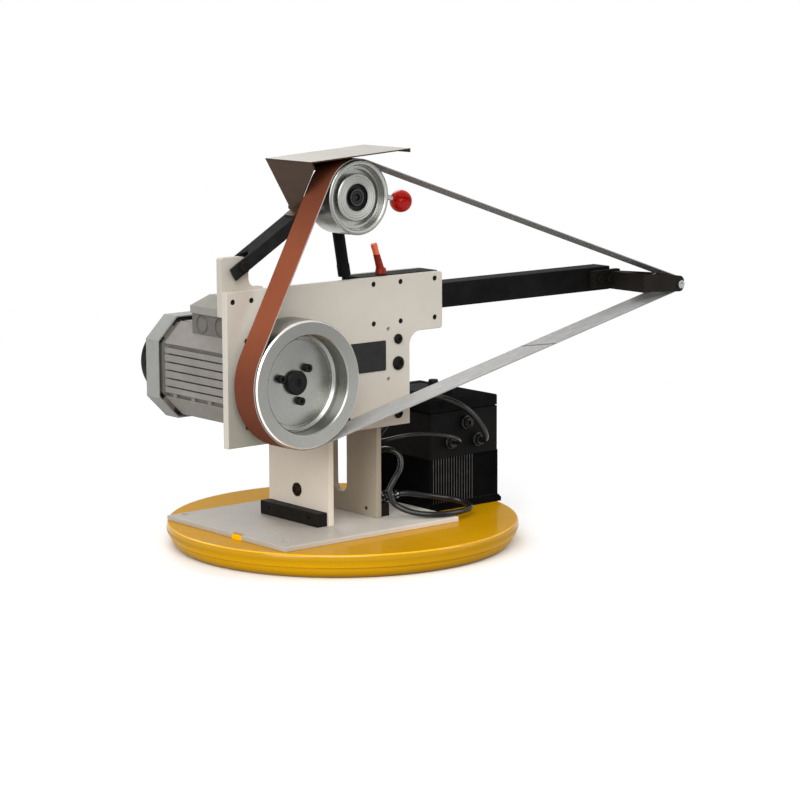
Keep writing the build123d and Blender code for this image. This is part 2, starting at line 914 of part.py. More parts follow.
def pivot_bolt():
    """The tension arm's pivot: a hexagon bolt, its nut, and a collar on each side of the ear."""
    head = arm_front - face_gap
    seat = arm_back + face_gap
    bolt = rod_y(pivot_x, pivot_z, pivot_radius, head, seat + nut_height)
    hexagon = Pos(pivot_x, pivot_z) * RegularPolygon(pivot_head_radius, 6)
    bolt += slab_y(hexagon, head - pivot_head_height, head)
    pieces_here = [bolt, nut_y(pivot_x, pivot_z, seat, pivot_head_radius, nut_height, pivot_radius)]
    half = ear_thickness / 2 + face_gap
    inner = arm_width / 2 - arm_wall - face_gap
    for y0, y1 in ((arm_y - inner, arm_y - half), (arm_y + half, arm_y + inner)):
        bore = pivot_radius + seat_fit
        pieces_here.append(ring_y(pivot_x, pivot_z, bore, pivot_radius + pivot_collar, y0, y1))
    return pieces_here


def strut_stud():
    y0 = strut_y - strut_eye_width / 2 - face_gap
    y1 = strut_y + strut_eye_width / 2 + face_gap
    y2 = y1 + stud_head
    stud_depth = plate_back - plate_thickness / 2
    stud = rod_y(strut_foot_x, strut_foot_z, strut_pin_radius, stud_depth, y2)
    stud += rod_y(strut_foot_x, strut_foot_z, strut_pin_radius + stud_collar, plate_back, y0)
    return stud + rod_y(strut_foot_x, strut_foot_z, strut_pin_radius + stud_head, y1, y2)


def abrasive_belt():
    outer = belt_loop(belt_running_gap + belt_thickness)
    inner = belt_loop(belt_running_gap)
    return slab_y(outer - inner, belt_y - belt_width / 2, belt_y + belt_width / 2)


# Motor
def motor_front_shield():
    square = RectangleRounded(motor_flange, motor_flange, motor_flange_corner)
    shield = slab_y(Pos(axis_x, axis_z) * square, plate_back, motor_start)
    seat_end = motor_start + motor_bearing_width + motor_bearing_lip
    shield += rod_y(axis_x, axis_z, motor_bearing_radius + motor_bearing_boss, motor_start, seat_end)
    shield -= rod_y(axis_x, axis_z, motor_bearing_radius + seat_fit, motor_start, seat_end)
    shield -= rod_y(axis_x, axis_z, shaft_radius + shaft_clearance, plate_back, motor_start)
    for x, z in motor_bolt_spots():
        shield -= rod_y(x, z, screw_radius + seat_fit, plate_back, motor_start)
    return shield


def fin_gaps():
    """The place and width of each gap between fins: the outer ones are wider."""
    reach = fin_count / 2 - 1
    gaps = []
    for i in range(fin_count - 1):
        outer = i in (0, fin_count - 2)
        gaps.append(((i - reach) * fin_pitch, fin_edge_gap if outer else fin_gap))
    return gaps


def motor_section():
    """The finned housing's outline: flat fins to the left and right, upright fins above and below."""
    outline = chamfered_square(motor_half, motor_chamfer)
    depth = motor_half - motor_core_half
    middle = motor_half - depth / 2
    for place, gap in fin_gaps():
        for side in (-1, 1):
            outline -= Pos(side * middle, place) * Rectangle(depth, gap)
            outline -= Pos(place, side * middle) * Rectangle(gap, depth)
    return outline - Circle(motor_bore)


def box_envelope(z0, z1, inset):
    """The terminal box's block between two heights, drawn in by an inset."""
    x0 = axis_x - box_half_width + inset
    x1 = axis_x + box_half_width - inset
    return block(x0, x1, box_front + inset, box_front + box_length - inset, z0, z1)


def motor_body():
    """The finned housing, its plain rear collar and small lugs in the lowest side gaps."""
    centre = Pos(axis_x, axis_z)
    fins_back = motor_end - fin_end
    body = slab_y(centre * motor_section(), motor_start, fins_back)
    collar = chamfered_square(motor_core_half, motor_chamfer) - Circle(motor_bore)
    body += slab_y(centre * collar, fins_back, motor_end)
    lug_z = axis_z + fin_gaps()[0][0]
    half = fin_edge_gap / 2
    for place in fin_lug_places:
        y = motor_start + place
        for side in (-1, 1):
            root = axis_x + side * motor_core_half
            x0, x1 = sorted((root, root + side * fin_lug_depth))
            body += block(x0, x1, y - fin_lug_length / 2, y + fin_lug_length / 2, lug_z - half, lug_z + half)
    seat = box_envelope(box_low, box_top, -face_gap)
    return body - (seat - rod_y(axis_x, axis_z, motor_bore + saddle_wall, motor_start, motor_end))


def motor_rear_shield():
    """The rear end plate, with a tab on each slanted side that holds the cowl."""
    centre = Pos(axis_x, axis_z)
    back = motor_end + rear_shield
    reach = (2 * (cowl_half - cowl_wall) - cowl_chamfer) / math.sqrt(2)
    outline = chamfered_square(rear_shield_half, motor_chamfer)
    tab = Rectangle(2 * reach, rear_shield_tab)
    outline += Rot(0, 0, 45) * tab + Rot(0, 0, -45) * tab
    plate = slab_y(centre * outline, motor_end, back)
    seat = motor_end - motor_bearing_width
    plate += rod_y(axis_x, axis_z, motor_bearing_radius + motor_bearing_boss, seat, motor_end)
    plate -= rod_y(axis_x, axis_z, motor_bearing_radius + seat_fit, seat, motor_end)
    return plate - rod_y(axis_x, axis_z, shaft_radius + shaft_clearance, motor_end, back)


def motor_bearings():
    bearings = []
    bore = shaft_radius + running_fit
    for y0 in (motor_start + motor_bearing_gap, motor_end - motor_bearing_width):
        y1 = y0 + motor_bearing_width - motor_bearing_gap
        bearings.append(ring_y(axis_x, axis_z, bore, motor_bearing_radius, y0, y1))
    return bearings


def stator():
    """The laminated core and its two winding heads."""
    y0 = motor_start + stator_start
    y1 = y0 + stator_length
    inner = stator_inner + winding_inset
    outer = motor_bore - winding_inset
    return [
        ring_y(axis_x, axis_z, stator_inner, motor_bore - stator_fit, y0, y1),
        ring_y(axis_x, axis_z, inner, outer, y0 - winding_length, y0),
        ring_y(axis_x, axis_z, inner, outer, y1, y1 + winding_length),
    ]


def fan_cowl():
    centre = Pos(axis_x, axis_z)
    outer = centre * chamfered_square(cowl_half, cowl_chamfer)
    inner = centre * chamfered_square(cowl_half - cowl_wall, cowl_chamfer)
    cowl = slab_y(outer, cowl_front, cowl_back) - slab_y(inner, cowl_front, cowl_back - cowl_wall)
    return cowl - rod_y(axis_x, axis_z, grille_radius - grille_lap, cowl_back - cowl_wall, cowl_back)


def rounded_drum(radius, depth, rounding):
    """A round drum standing on the cowl's back, with its far edge rounded."""
    drum = rod_y(axis_x, axis_z, radius, cowl_back, cowl_back + depth)
    return fillet(drum.edges().sort_by(Axis.Y)[-1], rounding)


def fan_grille():
    """A deep domed guard with slots round its side and across its end."""
    inner_round = grille_round - grille_wall
    shell = rounded_drum(grille_radius, grille_depth, grille_round)
    shell -= rounded_drum(grille_radius - grille_wall, grille_depth - grille_wall, inner_round)
    crown = cowl_back + grille_depth
    side_y = cowl_back + (grille_depth - grille_round) / 2
    face_middle = grille_hub_radius + grille_face_slot / 2
    side_slot = Pos(0, side_y, grille_radius) * Box(grille_slot_width, grille_side_slot, 4 * grille_wall)
    face_slot = Pos(0, crown, face_middle) * Box(grille_slot_width, 4 * grille_wall, grille_face_slot)
    for i in range(grille_slots):
        turn = Pos(axis_x, 0, axis_z) * Rot(0, i * 360 / grille_slots, 0)
        shell -= turn * side_slot
        shell -= turn * face_slot
    return shell


def cooling_fan():
    y0 = motor_end + rear_shield + fan_gap
    root = fan_hub_radius - fan_blade
    fan = ring_y(axis_x, axis_z, shaft_radius, fan_hub_radius, y0, y0 + fan_hub_length)
    fan += ring_y(axis_x, axis_z, root, fan_radius, y0, y0 + fan_blade)
    middle = (fan_radius + root) / 2
    blade = Pos(0, y0 + fan_blade_length / 2, middle) * Box(fan_blade, fan_blade_length, fan_radius - root)
    for i in range(fan_blades):
        fan += Pos(axis_x, 0, axis_z) * Rot(0, i * 360 / fan_blades, 0) * blade
    return fan


def terminal_box():
    """A hollow box cut to a saddle over the housing, with two ring-shaped knock-outs on its outer side."""
    saddle = motor_bore + saddle_wall + face_gap
    inside = box_envelope(box_low + box_wall, box_top, box_wall)
    inside -= rod_y(axis_x, axis_z, saddle + box_wall, motor_start, motor_end)
    box = box_envelope(box_low, box_top, 0) - rod_y(axis_x, axis_z, saddle, motor_start, motor_end) - inside
    x0 = axis_x - box_half_width
    x1 = x0 + knockout_depth
    z = box_low + knockout_height
    for side in (-1, 1):
        y = box_front + box_length / 2 + side * knockout_spacing / 2
        box -= rod_x(y, z, knockout_radius, x0, x1) - rod_x(y, z, knockout_disc, x0, x1)
    x, y, z = box_gland_spot()
    return box - rod_x(y, z, gland_neck_radius, x - box_wall, x)


def terminal_lid():
    """A lid with an upright rim and four sloping sides."""
    length = box_length + 2 * box_lid_overhang
    width = 2 * (box_half_width + box_lid_overhang)
    middle = Pos(axis_x, box_front + box_length / 2, box_top)
    rim = middle * Pos(0, 0, box_lid_rim / 2) * Box(width, length, box_lid_rim)
    rim = chamfer(rim.edges().filter_by(Axis.Z), edge_break)
    low = middle * Pos(0, 0, box_lid_rim) * Rectangle(width - 2 * edge_break, length - 2 * edge_break)
    high = Rectangle(width - 2 * box_lid_taper, length - 2 * box_lid_taper)
    return rim + loft([low, middle * Pos(0, 0, box_lid_height) * high])


def motor_shaft():
    end = motor_end + rear_shield + shaft_end
    return rod_y(axis_x, axis_z, shaft_radius, drive_web_front + shaft_web_gap, end)


def rotor_core():
    y0 = motor_start + stator_start
    return ring_y(axis_x, axis_z, shaft_radius, stator_inner - air_gap, y0, y0 + stator_length)


# Drive wheel
def hub_screw_spots():
    spots = []
    for i in range(hub_screw_count):
        angle = math.radians(hub_screw_turn + i * 360 / hub_screw_count)
        x = axis_x + hub_screw_circle * math.cos(angle)
        spots.append((x, axis_z + hub_screw_circle * math.sin(angle)))
    return spots


def drive_wheel():
    web = drive_web_front
    web_back = drive_web_back
    rim = drive_radius - drive_rim
    rim_back = drive_radius - drive_rim_back
    groove = drive_groove_radius
    groove_end = groove + drive_groove
    groove_floor = web + drive_groove_depth
    bore = hub_spigot_radius + seat_fit
    wheel = turned([
        (bore, web), (groove, web), (groove, groove_floor), (groove_end, groove_floor), (groove_end, web),
        (rim - drive_web_corner, web), (rim, web - drive_web_corner),
        (rim, wheel_front + wheel_chamfer), (rim + wheel_chamfer, wheel_front),
        (drive_radius - wheel_chamfer, wheel_front), (drive_radius, wheel_front + wheel_chamfer),
        (drive_radius + wheel_crown, belt_y),
        (drive_radius, wheel_back - wheel_chamfer), (drive_radius - wheel_chamfer, wheel_back),
        (rim_back, wheel_back), (rim_back, web_back), (bore, web_back),
    ], axis_x, axis_z)
    for x, z in hub_screw_spots():
        wheel -= rod_y(x, z, hub_screw_radius + seat_fit, web, web_back)
    return wheel


def drive_hub():
    flange_back = drive_web_back + hub_flange
    end = plate_front - hub_plate_gap
    hub = rod_y(axis_x, axis_z, hub_spigot_radius, drive_web_front, drive_web_back)
    hub += rod_y(axis_x, axis_z, hub_flange_radius, drive_web_back, flange_back)
    hub += rod_y(axis_x, axis_z, hub_spigot_radius + hub_neck_wall, flange_back, end)
    hub -= rod_y(axis_x, axis_z, shaft_radius + seat_fit, drive_web_front, end)
    for x, z in hub_screw_spots():
        hub -= rod_y(x, z, hub_screw_radius, drive_web_back, flange_back)
    return hub


def hub_cap():
    front = drive_web_front - hub_cap_height
    floor = front + hub_cap_dimple_depth
    return turned([
        (0, floor), (hub_cap_dimple, floor), (hub_cap_dimple, front),
        (hub_cap_radius - hub_cap_break, front), (hub_cap_radius, front + hub_cap_break),
        (hub_cap_radius, drive_web_front), (0, drive_web_front),
    ], axis_x, axis_z)


def hub_screws():
    length = drive_web + hub_flange
    screws = []
    for x, z in hub_screw_spots():
        screws.append(socket_screw_y(x, z, drive_web_front, hub_screw_head, hub_screw_head_height,
                                     hub_screw_radius, length))
    return screws


# Tension arm
def tension_arm():
    """An open channel with a notched tail over the ear and a solid end block for the handle."""
    half = arm_width / 2
    inner = half - arm_wall
    low = -arm_height / 2
    high = arm_height / 2
    under = high - arm_top_wall
    tail = -arm_tail
    arm = block(tail, arm_end, arm_y - half, arm_y + half, low, high)
    arm -= block(tail, arm_end - arm_end_block, arm_y - inner, arm_y + inner, low, under)
    notch = Polyline((tail, arm_y - inner), (arm_notch, arm_y - inner), (arm_notch + inner, arm_y),
                     (arm_notch, arm_y + inner), (tail, arm_y + inner), close=True)
    arm -= Pos(0, 0, under) * extrude(make_face(notch), arm_top_wall)
    arm -= rod_y(0, 0, pivot_radius + running_fit, arm_y - half, arm_y + half)
    arm -= rod_y(arm_reach, 0, axle_hole, arm_y - half, arm_y - inner)
    arm -= rod_z(arm_reach, arm_y, tracking_pin_radius + seat_fit, under, high)
    screw = arm_reach - tracking_screw_back
    boss_end = arm_y + half + tracking_boss
    arm += rod_y(screw, 0, tracking_screw_radius + tracking_boss, arm_y + half, boss_end)
    arm -= rod_y(screw, 0, tracking_screw_radius + running_fit, arm_y + inner, boss_end)
    pin = arm_reach + strut_pin_beyond
    arm += rod_y(pin, -strut_pin_drop, strut_pin_radius, arm_y - half, arm_y + half)
    return arm_frame * arm - handle_rod()


def handle_line():
    """The two ends of the release handle's rod, as X and Z."""
    x, z = on_arm(arm_end - handle_rod_sink, 0)
    return (x, z), (x + handle_run, z - handle_drop)


def handle_rod():
    (x0, z0), (x1, z1) = handle_line()
    length = math.hypot(x1 - x0, z1 - z0)
    lean = math.degrees(math.atan2(x1 - x0, z1 - z0))
    middle = Pos((x0 + x1) / 2, arm_y, (z0 + z1) / 2)
    return middle * Rot(0, lean, 0) * Cylinder(handle_rod_radius, length)


def handle_knob():
    x, z = handle_line()[1]
    return Pos(x, arm_y, z) * Sphere(knob_radius) - handle_rod()


def roof_guard():
    """One bent sheet: a foot on the arm, a stem that widens upwards, the roof with its lip and rib."""
    t = guard_thickness
    top = arm_height / 2
    front = wheel_front - guard_overhang
    back = arm_y + guard_back
    side = arm_y - guard_stem_front
    outline = Polyline((side, top), (back, top), (back, guard_height), (front, guard_height),
                       (front, guard_front_low), (side - guard_waist, guard_waist_height),
                       (side, guard_waist_height - guard_waist), close=True)
    stem = Pos(guard_along, 0, 0) * extrude(Plane.YZ * make_face(outline), t)
    foot_half = arm_width / 2 - guard_tab_inset
    foot_start = guard_along - guard_tab
    foot = block(foot_start, guard_along + t, arm_y - foot_half, arm_y + foot_half, top, top + t)
    x, z = on_arm(guard_along, guard_height)
    roof = block(0, roof_length, front, back, -t / 2, t / 2)
    roof += block(roof_length - t, roof_length, front, back, -roof_lip, t / 2)
    rib_start = rib_depth * arm_sin / arm_cos
    rib = Polyline((0, 0), (rib_length, 0), (rib_length, -rib_depth), (rib_start, -rib_depth), close=True)
    rib_front = wheel_back + rib_wheel_gap
    roof += slab_y(make_face(rib), rib_front, rib_front + t)
    return arm_frame * (stem + foot) + Pos(x, 0, z) * Rot(0, -roof_rise, 0) * roof


# Tracking block, its axle and the wheel on it
block_high = arm_height / 2 - arm_top_wall - block_top_play
block_low = block_high - block_height


def tracking_block():
    half = block_width / 2
    front = arm_y - half
    body = block(arm_reach - block_tail, arm_reach + block_nose, front, arm_y + half, block_low, block_high)
    body -= rod_z(arm_reach, arm_y, tracking_pin_radius + running_fit, block_low, block_high)
    body -= rod_y(arm_reach, 0, axle_neck + seat_fit, front, front + axle_neck_depth)
    return arm_frame * body


def upper_axle():
    neck_end = arm_y - block_width / 2 + axle_neck_depth
    shoulder_back = arm_front - axle_arm_gap
    seat = wheel_back - bearing_set_back
    front = wheel_front + upper_hub_depth
    head = front - axle_head
    axle = rod_y(upper_x, upper_z, axle_radius, head, seat)
    axle += rod_y(upper_x, upper_z, axle_neck, shoulder_back, neck_end)
    axle += rod_y(upper_x, upper_z, axle_shoulder, seat, shoulder_back)
    axle += rod_y(upper_x, upper_z, axle_shoulder, head, front)
    socket = Pos(upper_x, upper_z) * RegularPolygon(axle_socket_radius, 6)
    return axle - slab_y(socket, head, head + axle_socket_depth)


def tracking_pin():
    top = arm_height / 2
    pin = rod_z(arm_reach, arm_y, tracking_pin_radius, block_low, top)
    pin += rod_z(arm_reach, arm_y, tracking_pin_radius + tracking_pin_lap, top, top + tracking_pin_head)
    return arm_frame * pin


def tracking_knob():
    screw = arm_reach - tracking_screw_back
    tip = arm_y + block_width / 2 + tracking_swing
    y0 = arm_y + arm_width / 2 + tracking_boss + tracking_knob_gap
    y1 = y0 + tracking_knob_length
    grip = rod_y(screw, 0, tracking_knob_radius, y0, y1)
    for i in range(tracking_knob_flutes):
        angle = math.radians(i * 360 / tracking_knob_flutes)
        x = screw + tracking_flute_circle * math.cos(angle)
        grip -= rod_y(x, tracking_flute_circle * math.sin(angle), tracking_flute_radius, y0, y1)
    return arm_frame * (rod_y(screw, 0, tracking_screw_radius, tip, y1) + grip)


def upper_bearing_places():
    """The front plane of each of the upper wheel's two bearings."""
    return wheel_front + upper_hub_depth, wheel_back - bearing_set_back - bearing_width


def upper_wheel():
    front, back = upper_bearing_places()
    ring = wheel_front + upper_ring_depth
    ring_floor = ring + upper_ring_height
    step_floor = ring + upper_step_depth
    rim = upper_radius - upper_rim
    seat = bearing_radius + seat_fit
    shoulder = axle_shoulder + bearing_wall
    recess = wheel_back - upper_back_recess
    hub_back = wheel_back - upper_back_step
    return turned([
        (seat, ring), (upper_ring_radius - upper_chamfer, ring), (upper_ring_radius, ring + upper_chamfer),
        (upper_ring_radius, ring_floor), (rim - upper_step, ring_floor),
        (rim - upper_step, step_floor), (rim, step_floor), (rim, wheel_front + upper_chamfer),
        (rim + upper_chamfer, wheel_front), (upper_radius - upper_chamfer, wheel_front),
        (upper_radius, wheel_front + upper_chamfer), (upper_radius + wheel_crown, belt_y),
        (upper_radius, wheel_back - upper_chamfer), (upper_radius - upper_chamfer, wheel_back),
        (rim, wheel_back), (rim, recess), (upper_ring_radius, recess), (upper_ring_radius, hub_back),
        (seat, hub_back), (seat, back), (shoulder, back),
        (shoulder, front + bearing_width), (seat, front + bearing_width),
    ], upper_x, upper_z)


def upper_bearings():
    bore = axle_radius + running_fit
    inner = axle_radius + bearing_inner_race
    outer = bearing_radius - bearing_outer_race
    bearings = []
    for y0 in upper_bearing_places():
        y1 = y0 + bearing_width
        seal = y0 + bearing_seal_depth
        bearings.append(turned([
            (bore, y0), (inner, y0), (inner, seal), (outer, seal),
            (outer, y0), (bearing_radius, y0), (bearing_radius, y1), (bore, y1),
        ], upper_x, upper_z))
    return bearings


# Gas strut: its pin is at the top, its foot on a stud behind the plate
def strut_cylinder():
    bottom = -strut_cap - strut_body_length
    eye_half = strut_eye_width / 2
    body = rod_z(0, 0, strut_radius, bottom, -strut_cap)
    body += rod_z(0, 0, strut_radius + strut_collar, bottom, bottom + strut_collar_length)
    body -= rod_z(0, 0, strut_radius - strut_wall, bottom + strut_end_wall, -strut_cap - strut_end_wall)
    body -= rod_z(0, 0, strut_rod_radius + running_fit, bottom, bottom + strut_end_wall)
    body += rod_y(0, 0, strut_eye_radius, -eye_half, eye_half)
    body += block(-strut_lug_half, strut_lug_half, -eye_half, eye_half, -strut_cap, 0)
    body -= rod_y(0, 0, strut_pin_radius + running_fit, -eye_half, eye_half)
    return strut_frame * body


def strut_rod():
    eye_half = strut_eye_width / 2
    top = -strut_cap - strut_end_wall - strut_stroke - strut_piston_spare
    piston = strut_radius - strut_wall - strut_piston_clearance
    rod = rod_z(0, 0, strut_rod_radius, -strut_length, top)
    rod += rod_z(0, 0, piston, top - strut_piston_length, top)
    rod += rod_y(0, -strut_length, strut_eye_radius, -eye_half, eye_half)
    rod -= rod_y(0, -strut_length, strut_pin_radius + strut_foot_play, -eye_half, eye_half)
    return strut_frame * rod


# Tool arm and its small-wheel fork
def fork_screw_places():
    return [tool_bar_end - inset for inset in fork_screw_insets]


def tool_arm():
    half = tool_bar / 2
    low = tool_bar_z - half
    bar = block(tool_bar_start, tool_bar_end, tool_bar_front, tool_bar_back, low, low + tool_bar)
    bar = fillet(bar.edges().filter_by(Axis.X), tool_bar_corner)
    hole_end = tool_bar_front + fork_screw_depth + screw_tip_gap
    for x in fork_screw_places():
        bar -= rod_y(x, tool_bar_z, fork_screw_radius, tool_bar_front, hole_end)
    return bar


def tip_fork():
    """A flat bar on the tool arm, a bridge in front of its end and two cheeks that carry the small wheel."""
    y_bar = tool_bar_front - fork_bar_thickness
    x0 = tool_bar_end - fork_bridge_lap
    x1 = x0 + fork_bridge
    half = fork_bar_height / 2
    low = tool_bar_z - fork_bridge_rise - half
    high = low + fork_bar_height
    bar_start = tool_bar_end - fork_bar_lap
    fork = block(bar_start, x1, y_bar, tool_bar_front, tool_bar_z - half, tool_bar_z + half)
    fork += block(x0, x1, fork_front, tool_bar_front, low, high)
    cheek_half = fork_cheek_height / 2
    nose = tip_x + fork_nose
    ends = [(nose, tip_z + cheek_half), (nose, tip_z - cheek_half)]
    face = make_face(Polyline((x0, low), (x0, high), (x1, high), *ends, (x1, low), close=True))
    face = fillet([face.vertices().sort_by_distance(end)[0] for end in ends], fork_cheek_round)
    for y0, y1 in ((fork_front, fork_front + fork_cheek), (fork_back - fork_cheek, fork_back)):
        fork += slab_y(face, y0, y1)
    fork -= rod_y(tip_x, tip_z, tip_axle_radius + seat_fit, fork_front, fork_back)
    for x in fork_screw_places():
        fork -= rod_y(x, tool_bar_z, fork_screw_radius, y_bar, tool_bar_front)
    return fork


def fork_screws():
    y_bar = tool_bar_front - fork_bar_thickness
    length = fork_bar_thickness + fork_screw_depth
    screws = []
    for x in fork_screw_places():
        screws.append(socket_screw_y(x, tool_bar_z, y_bar, fork_screw_head, fork_screw_head,
                                     fork_screw_radius, length))
    return screws


def tip_axle():
    length = fork_back - fork_front
    return socket_screw_y(tip_x, tip_z, fork_front, tip_axle_head, tip_axle_head_height,
                          tip_axle_radius, length)


def tip_wheel():
    y0 = belt_y - tip_wheel_width / 2
    y1 = belt_y + tip_wheel_width / 2
    bore = tip_axle_radius + tip_bore_play
    seat = tip_bearing_radius + seat_fit
    depth = tip_bearing_width
    edge = tip_radius - tip_break
    return turned([
        (bore, y0 + depth), (seat, y0 + depth), (seat, y0), (edge, y0), (tip_radius, y0 + tip_break),
        (tip_radius, y1 - tip_break), (edge, y1), (seat, y1), (seat, y1 - depth), (bore, y1 - depth),
    ], tip_x, tip_z)


def tip_bearings():
    y0 = belt_y - tip_wheel_width / 2
    y1 = belt_y + tip_wheel_width / 2 - tip_bearing_width
    inner = tip_axle_radius + running_fit
    return [ring_y(tip_x, tip_z, inner, tip_bearing_radius, y, y + tip_bearing_width) for y in (y0, y1)]


def clamp_place():
    """The X and Y of the clamp screw's axis."""
    return receiver_x + clamp_along, tool_bar_front + tool_bar / 2


def clamp_lever():
    """A clamp screw with a leaning lever: its grip narrows upwards and ends in a thicker cap."""
    x, y = clamp_place()
    seat = tool_bar_z + receiver_inner + receiver_wall + face_gap
    screw = rod_z(x, y, clamp_screw_radius, tool_bar_z + tool_bar / 2 + face_gap, seat)
    hub = Cone(clamp_hub_radius, clamp_hub_radius - clamp_hub_taper, clamp_hub_height)
    hub = Pos(x, y, seat + clamp_hub_height / 2) * hub
    grip = Pos(0, 0, clamp_lever_length / 2) * Cone(clamp_lever_root, clamp_lever_tip, clamp_lever_length)
    cap = Cylinder(clamp_cap_radius, clamp_cap_length)
    cap = fillet(cap.edges().sort_by(Axis.Z)[-1], clamp_cap_radius / 2)
    grip += Pos(0, 0, clamp_lever_length + clamp_cap_length / 2) * cap
    return screw + hub + Pos(x, y, seat + clamp_hub_height / 2) * Rot(0, -clamp_lever_lean, 0) * grip


# Inverter lying on its back
def inverter_base():
    """A solid heat sink block with a foot flange, a row of slots and a sunk panel on its front."""
    x0, x1 = inverter_x, inverter_right
    y0, y1 = inverter_front, inverter_back
    flange_top = base_height + inverter_flange_height
    body = block(x0, x1, y0, y1, base_height, inverter_case_low)
    flange = block(x0 - inverter_flange, x1 + inverter_flange, y0, y1, base_height, flange_top)
    body += chamfer(flange.edges().filter_by(Axis.Y).group_by(Axis.Z)[-1], inverter_flange_break)
    middle = (flange_top + inverter_case_low) / 2
    low = middle - slot_height / 2
    high = middle + slot_height / 2
    for i in range(slot_count):
        x = x0 + slot_inset + i * slot_pitch
        body -= block(x - slot_width / 2, x + slot_width / 2, y0, y0 + slot_depth, low, high)
    panel = x0 + 2 * panel_inset + slot_count * slot_pitch
    return body - block(panel, x1 - panel_inset, y0, y0 + panel_depth, low, high)


def inverter_case():
    case = block(inverter_x, inverter_right, inverter_front, inverter_back,
                 inverter_case_low, inverter_case_top)
    case = fillet(case.edges().filter_by(Axis.Z), inverter_corner)
    for x, y, z in gland_spots():
        case -= rod_y(x, z, gland_neck_radius, y, y + gland_neck + screw_tip_gap)
    return case


def inverter_lid():
    z0 = inverter_case_top
    z1 = z0 + inverter_seam
    inset = inverter_seam_inset
    neck = block(inverter_x + inset, inverter_right - inset,
                 inverter_front + inset, inverter_back - inset, z0, z1)
    lid = block(inverter_x, inverter_right, inverter_front, inverter_back, z1, inverter_top)
    lid = fillet(lid.edges().filter_by(Axis.Z), inverter_corner)
    return neck + chamfer(lid.edges().group_by(Axis.Z)[-1], inverter_top_break)


def keypad_corner():
    return inverter_x + keypad_inset_x, inverter_front + keypad_inset_front


def inverter_keypad():
    x, y = keypad_corner()
    top = inverter_top + keypad_height
    pad = block(x, x + keypad_width, y, y + keypad_depth, inverter_top, top)
    pad = chamfer(pad.edges().group_by(Axis.Z)[-1], keypad_break)
    display_end = y + display_start + display_length
    return pad - block(x + display_inset, x + keypad_width - display_inset, y + display_start, display_end,
                       top - display_depth, top)


def speed_knob_place():
    """The X and Y of the speed knob's axis."""
    x, y = keypad_corner()
    return x + keypad_width - speed_knob_inset_x, y + speed_knob_inset_y


def speed_knob():
    """A round skirt and a tapered grip with a pointer groove."""
    x, y = speed_knob_place()
    z0 = inverter_top + keypad_height + face_gap
    z1 = z0 + speed_knob_skirt
    z2 = z0 + speed_knob_height
    grip = Cone(speed_knob_radius, speed_knob_radius - speed_knob_taper, z2 - z1)
    knob = rod_z(x, y, speed_knob_radius, z0, z1) + Pos(x, y, (z1 + z2) / 2) * grip
    half = speed_mark_width / 2
    return knob - block(x - half, x + half, y, y + speed_knob_radius, z2 - speed_mark_depth, z2)


def gland(lead_size):
    """A cable gland on the plane Y = 0, pointing along -Y, bored for a lead."""
    bore = lead_size / 2 + lead_fit
    neck = gland_neck_radius - lead_fit
    front = -gland_length
    nose_end = front + gland_nose
    nut_front = nose_end + edge_break
    nose = gland_radius - gland_nose_taper
    return turned([
        (bore, front), (nose - gland_nose_taper, front), (nose, nose_end), (gland_radius, nut_front),
        (gland_radius, 0), (neck, 0), (neck, gland_neck), (bore, gland_neck),
    ], 0, 0)


def gland_spots():
    return [(inverter_x + along, inverter_front, base_height + up) for along, up in gland_places]


def box_gland_spot():
    return axis_x + box_half_width, box_front + box_length / 2, box_low + box_gland_height


def cable_glands():
    motor_spot, supply_spot, spare_spot = gland_spots()
    return [
        Pos(*motor_spot) * gland(motor_lead_diameter),
        Pos(*supply_spot) * gland(supply_lead_diameter),
        Pos(*spare_spot) * gland(motor_lead_diameter),
        Pos(*box_gland_spot()) * Rot(0, 0, 90) * gland(motor_lead_diameter),
    ]


# Leads: straight runs joined by tangent arcs
def motor_route():
    """From the lower left gland along the inverter, through the upright's window, up to the terminal box."""
    gx, gy, gz = gland_spots()[0]
    gy -= gland_length
    side = upright_right_x + upright_thickness
    window_y = plate_back + window_front + window_depth / 2
    bx, by, bz = box_gland_spot()
    bx += gland_length
    return [
        (gx, gy + lead_entry, gz), (gx, gy - 11, gz), (gx - 8, gy - 24, gz + 9), (gx - 28, gy - 29, gz + 17),
        (gx - 56, gy - 22, gz + 23), (side + 58, plate_back - 18, gz + 26),
        (side + 32, plate_back - 6, gz + 23), (side + 14, plate_back + 15, gz + 15),
        (side + 12, plate_back + 42, gz + 14), (side + 12, window_y - 17, gz + 28),
        (side - 14, window_y + 8, gz + 46), (side - 40, window_y + 15, gz + 72),
        (bx + 76, by + 10, bz - 112), (bx + 70, by + 4, bz - 70), (bx + 63, by + 2, bz - 32),
        (bx + 46, by + 1, bz - 8), (bx + 20, by, bz), (bx - lead_entry, by, bz),
    ]


def connector_place():
    side = upright_right_x + upright_thickness
    z = base_top + foot_bar_height + connector_radius + face_gap
    return side + connector_side_gap, plate_back + connector_back, z


